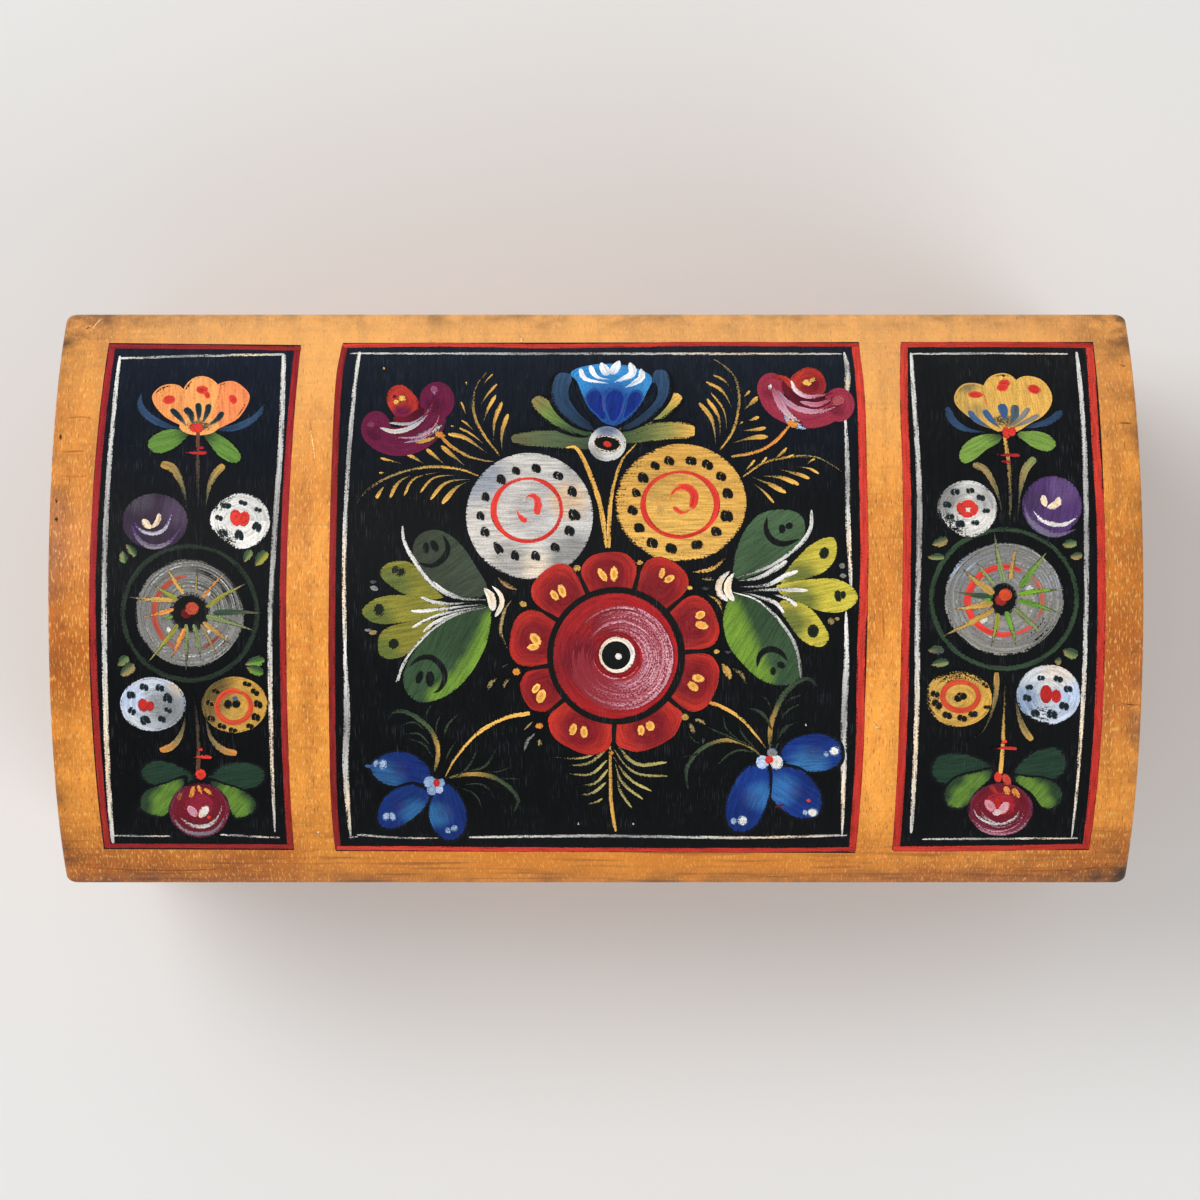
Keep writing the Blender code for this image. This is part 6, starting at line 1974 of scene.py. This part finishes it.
# %% Wear on the lid board
LID_MARKS = [
    ([(87.5, 327.5), (88.5, 328.5)], 4.5, rgb(58, 30, 16)),
    ([(90, 332), (96, 324), (102, 318)], 1.4, rgb(255, 214, 160)),
    ([(873, 722), (880, 730)], 1.6, rgb(252, 226, 190)), ([(877, 729), (879.5, 729.5)], 2.6, CREAM),
    ([(317, 831.5), (319, 832.5)], 2.6, WHITE),
    ([(1120, 703), (1131, 704.5), (1140, 705)], 1.4, rgb(104, 58, 30)),
    ([(1120, 365), (1126, 366.5)], 2.2, rgb(120, 66, 34)),
    ([(1118, 423), (1133, 423.5)], 1.6, rgb(110, 60, 32)),
    ([(56, 516), (56.5, 522)], 3.2, DARK_BROWN), ([(60.5, 434), (60.5, 440)], 3, DARK_BROWN),
    ([(56, 498), (56.5, 504)], 2.6, DARK_BROWN),
    ([(66, 418), (80, 417), (92, 418.5)], 1.6, rgb(206, 128, 62)),
    ([(62, 452), (84, 451)], 1.8, rgb(196, 116, 52)),
    ([(60, 476), (74, 477), (88, 476)], 1.4, rgb(204, 124, 58)),
    ([(310, 420), (316, 470)], 1.2, rgb(255, 206, 140)),
    ([(520, 336), (522, 343)], 1.6, rgb(255, 224, 178)), ([(883, 610), (884, 640)], 1.2, rgb(176, 100, 46)),
    ([(72, 866), (140, 870), (240, 869)], 2, rgb(122, 70, 34)),
    ([(1010, 871), (1070, 870), (1118, 865)], 2.2, rgb(120, 70, 36)),
]


def mark_lid():
    marks = Painting(on_lid, PIXEL, 5)
    for points, width, colour in LID_MARKS:
        marks.stroke(points, width, colour, ROUND, cover=[0.75, 0.95, 0.75], under=rgb(190, 116, 48))
    marks.hang("lid_board_marks", oil_paint, "lid", bend)


mark_lid()

# %% [markdown]
# ## Boards and hardware
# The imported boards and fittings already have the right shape, but their edges are knife-sharp and
# their faces are loose triangles. Each one is copied, its triangles are joined, and its outer edges
# are rounded a little, as sandpaper and handling round them. The grain follows each board's length,
# and every board gets its own piece of the figure, because no two boards are cut from one place.
# Inside, the wood was only oiled, so it is paler and drier. The brass is dull, with dark tarnish
# where fingers don't rub it.

# %% Finishes for boards and hardware
def board_darkening(wood, where, place):
    """Darker low down, on the plinth, and in soft patches."""
    z = wood.node("ShaderNodeSeparateXYZ", {}, place, out="X").twin("Z")
    low = 1 - z.smooth(0.0, 22 * MM)
    patchy = wood.noise(where, 60.0, detail=4.0).smooth(0.42, 0.78)
    return ((0.16 + low * 0.55) * patchy).clamp()


def metal(name, bright, dark, shine):
    finish = Finish(name, Metallic=1.0)
    where = finish.node("ShaderNodeTexCoord", {}, out="Object")
    clouds = finish.noise(where, 260.0, detail=4.0)
    spots = finish.noise(where, 1500.0, detail=3.0)
    scratch = finish.noise(where, (9000.0, 500.0, 700.0), detail=1.0)
    dull = (clouds * 0.7 + spots * 0.3).smooth(0.4, 0.66)
    finish.wear(
        Base_Color=finish.mix(dull, bright, dark),
        Roughness=(shine + dull * 0.22 + scratch * 0.08).clamp(),
        Normal=finish.bump(scratch * 0.4 + spots * 0.6, 0.02 * MM, 0.4),
    )
    return finish


board_wood = {axis: stained_wood("board_wood_" + axis, axis, board_darkening) for axis in "xy"}
brass = metal("dull_brass", (0.52, 0.33, 0.11), (0.17, 0.105, 0.05), 0.3)
steel = metal("dark_steel", (0.2, 0.19, 0.18), (0.06, 0.045, 0.035), 0.45)

# %% Soft-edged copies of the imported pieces
BOARD_EDGE = 0.4 * MM
METAL_EDGE = 0.14 * MM
WELD = 0.002 * MM
OUTER = 0.7  # in radians: only edges that turn more than this are rounded
BODIES = {node: body for body, nodes in frame["record"]["behaviour"]["bodies"].items() for node in nodes}


def dress(node, finish, edge):
    """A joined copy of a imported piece, with soft outer edges, in its own finish."""
    source = frame["nodes"][node]
    piece = bmesh.new()
    piece.from_mesh(source.data)
    piece.transform(source.matrix_world)
    bmesh.ops.remove_doubles(piece, verts=piece.verts, dist=WELD)
    bmesh.ops.dissolve_limit(piece, angle_limit=math.radians(1), verts=piece.verts, edges=piece.edges)
    outer = [e for e in piece.edges if e.is_manifold and e.is_convex and e.calc_face_angle() > OUTER]
    bmesh.ops.bevel(
        piece, geom=outer, offset=edge, segments=2, profile=0.5, affect="EDGES", material=-1,
        clamp_overlap=True,
    )
    sheet = piece.verts.layers.float_vector.new("sheet")
    apart = Vector([random.uniform(-1, 1) for _ in range(3)])
    for vert in piece.verts:
        vert[sheet] = vert.co + apart
    made = put(node + "_finished", piece, finish, BODIES[node])
    made.data.set_sharp_from_angle(angle=SHARP)
    made.modifiers.new("flat_faces", "WEIGHTED_NORMAL").keep_sharp = True
    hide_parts(node)


for node in BODIES:
    if node != "lid_top_board":
        if frame["nodes"][node].data.materials[0].name.startswith("stained"):
            lies_along_y = "end" in node or node in ("plinth_left", "plinth_right")
            dress(node, board_wood["y" if lies_along_y else "x"], BOARD_EDGE)
        else:
            dress(node, steel if "nail" in node else brass, METAL_EDGE)

# %% [markdown]
# ## Panels on the front and the ends
# Chests like this one carry the same kind of painting on their front and ends, so the walls get
# panels too, smaller and simpler. The flowers are the lid's own: the painting functions take any
# flat sheet, so here they get smaller ones, at two thirds of the size. The front has two panels
# with the red blossom and its leaf fans, on either side of the hook, and each end has one with the
# tulip, the rosettes and the roses. The back stands to the wall and stays plain.

# %% Painted walls
WALL_SCALE = 0.68
WALL_PANELS_HEIGHT = 61.5 * MM
# The parts of the lid's painting that are used: the middle and half the size, in pixels.
BLOSSOM_AND_FANS = ((608, 629), (276, 146))
TULIP_AND_ROSES = ((606, 468), (272, 142))
# The border and the liner line: how far in they run, their width and their colour.
WALL_LINES = [
    (4, RED_WIDTH * 1.3, [RED, rgb(172, 44, 38)]),
    (16, 5, [WHITE, PEARL, CREAM]),
]


def blossom_and_fans(art):
    paint_fan(art, FANS["left"], rgb(150, 152, 56))
    paint_fan(art, FANS["right"], rgb(176, 168, 62))
    paint_red_blossom(art, random.Random(12))


def tulip_and_roses(art):
    paint_pale_feathers(art)
    paint_stems(art, STEMS[:2] + STEMS[4:6])
    paint_rosette(art, ROSETTES["white"])
    paint_rosette(art, ROSETTES["yellow"])
    paint_blue_tulip(art, BLUE_TULIP)
    paint_wine_rose(art, ROSES["left"], PLUM)
    paint_wine_rose(art, ROSES["right"], RIGHT_ROSE)


def paint_wall(name, region, flowers, wrap):
    """A panel with a border and a liner line, and some of the lid's flowers, on a flat wall."""
    (x, y), (w, h) = region
    unit = PIXEL * WALL_SCALE

    def place(pixel):
        return Vector(((pixel[0] - x) * unit, (y - pixel[1]) * unit, 0))

    ground = Painting(place, unit, 3)
    edges = [[(x + side * w, y + k * h) for k in (-1, 0, 1)] for side in (-1, 1)]
    # The ground is bluish at its top, a painted reflection of the sky, and black below.
    ground.ground(*edges, [rgb(20, 26, 38), NIGHT, JET], 20, 30)
    ground.hang(name + "_ground", black_ground, "chest", wrap)
    art = Painting(place, unit, len(name))
    art.begin()
    for inset, width, colour in WALL_LINES:
        a, b = w - inset, h - inset
        corners = [(x - a, y - b), (x + a, y - b), (x + a, y + b), (x - a, y + b)]
        for ends in zip(corners, corners[1:] + corners[:1]):
            bow = art.dice.uniform(-0.004, 0.004)
            art.stroke(ends, width, colour, (0.04, 0.06), bow, cover=[1, 0.9, 1, 0.9])
    flowers(art)
    art.hang(name + "_painting", oil_paint, "chest", wrap)


def on_front(side):
    """Stands a flat panel on the front, left (-1) or right (1) of the hook."""
    return lambda p: Vector((p.x + side * panel_middle.x, wall_low.y - p.z, p.y + panel_middle.z))


def on_end(side, wall):
    """Stands a flat panel on the left (-1) or the right (1) end."""
    return lambda p: Vector((wall + side * p.z, side * p.x, p.y + panel_middle.z))


wall_low, wall_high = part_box("front_board")
panel_middle = Vector((78 * MM, 0, WALL_PANELS_HEIGHT))
paint_wall("front_left_panel", BLOSSOM_AND_FANS, blossom_and_fans, on_front(-1))
paint_wall("front_right_panel", BLOSSOM_AND_FANS, blossom_and_fans, on_front(1))
paint_wall("left_end_panel", TULIP_AND_ROSES, tulip_and_roses, on_end(-1, wall_low.x))
paint_wall("right_end_panel", TULIP_AND_ROSES, tulip_and_roses, on_end(1, wall_high.x))

# %% [markdown]
# ## The floor
# A plain pale sheet, which is only there for the shadow. It is attached to no body, so it isn't a
# part of the chest.

# %% Floor
floor_mesh = bmesh.new()
bmesh.ops.create_grid(floor_mesh, x_segments=1, y_segments=1, size=FLOOR_SIZE / 2)
floor_data = bpy.data.meshes.new("floor")
floor_mesh.to_mesh(floor_data)
floor_mesh.free()
floor_finish = Finish("floor_paper", Base_Color=FLOOR_RGB, Roughness=0.9)
floor_data.materials.append(floor_finish.material)
floor = bpy.data.objects.new("floor", floor_data)
bpy.context.scene.collection.objects.link(floor)
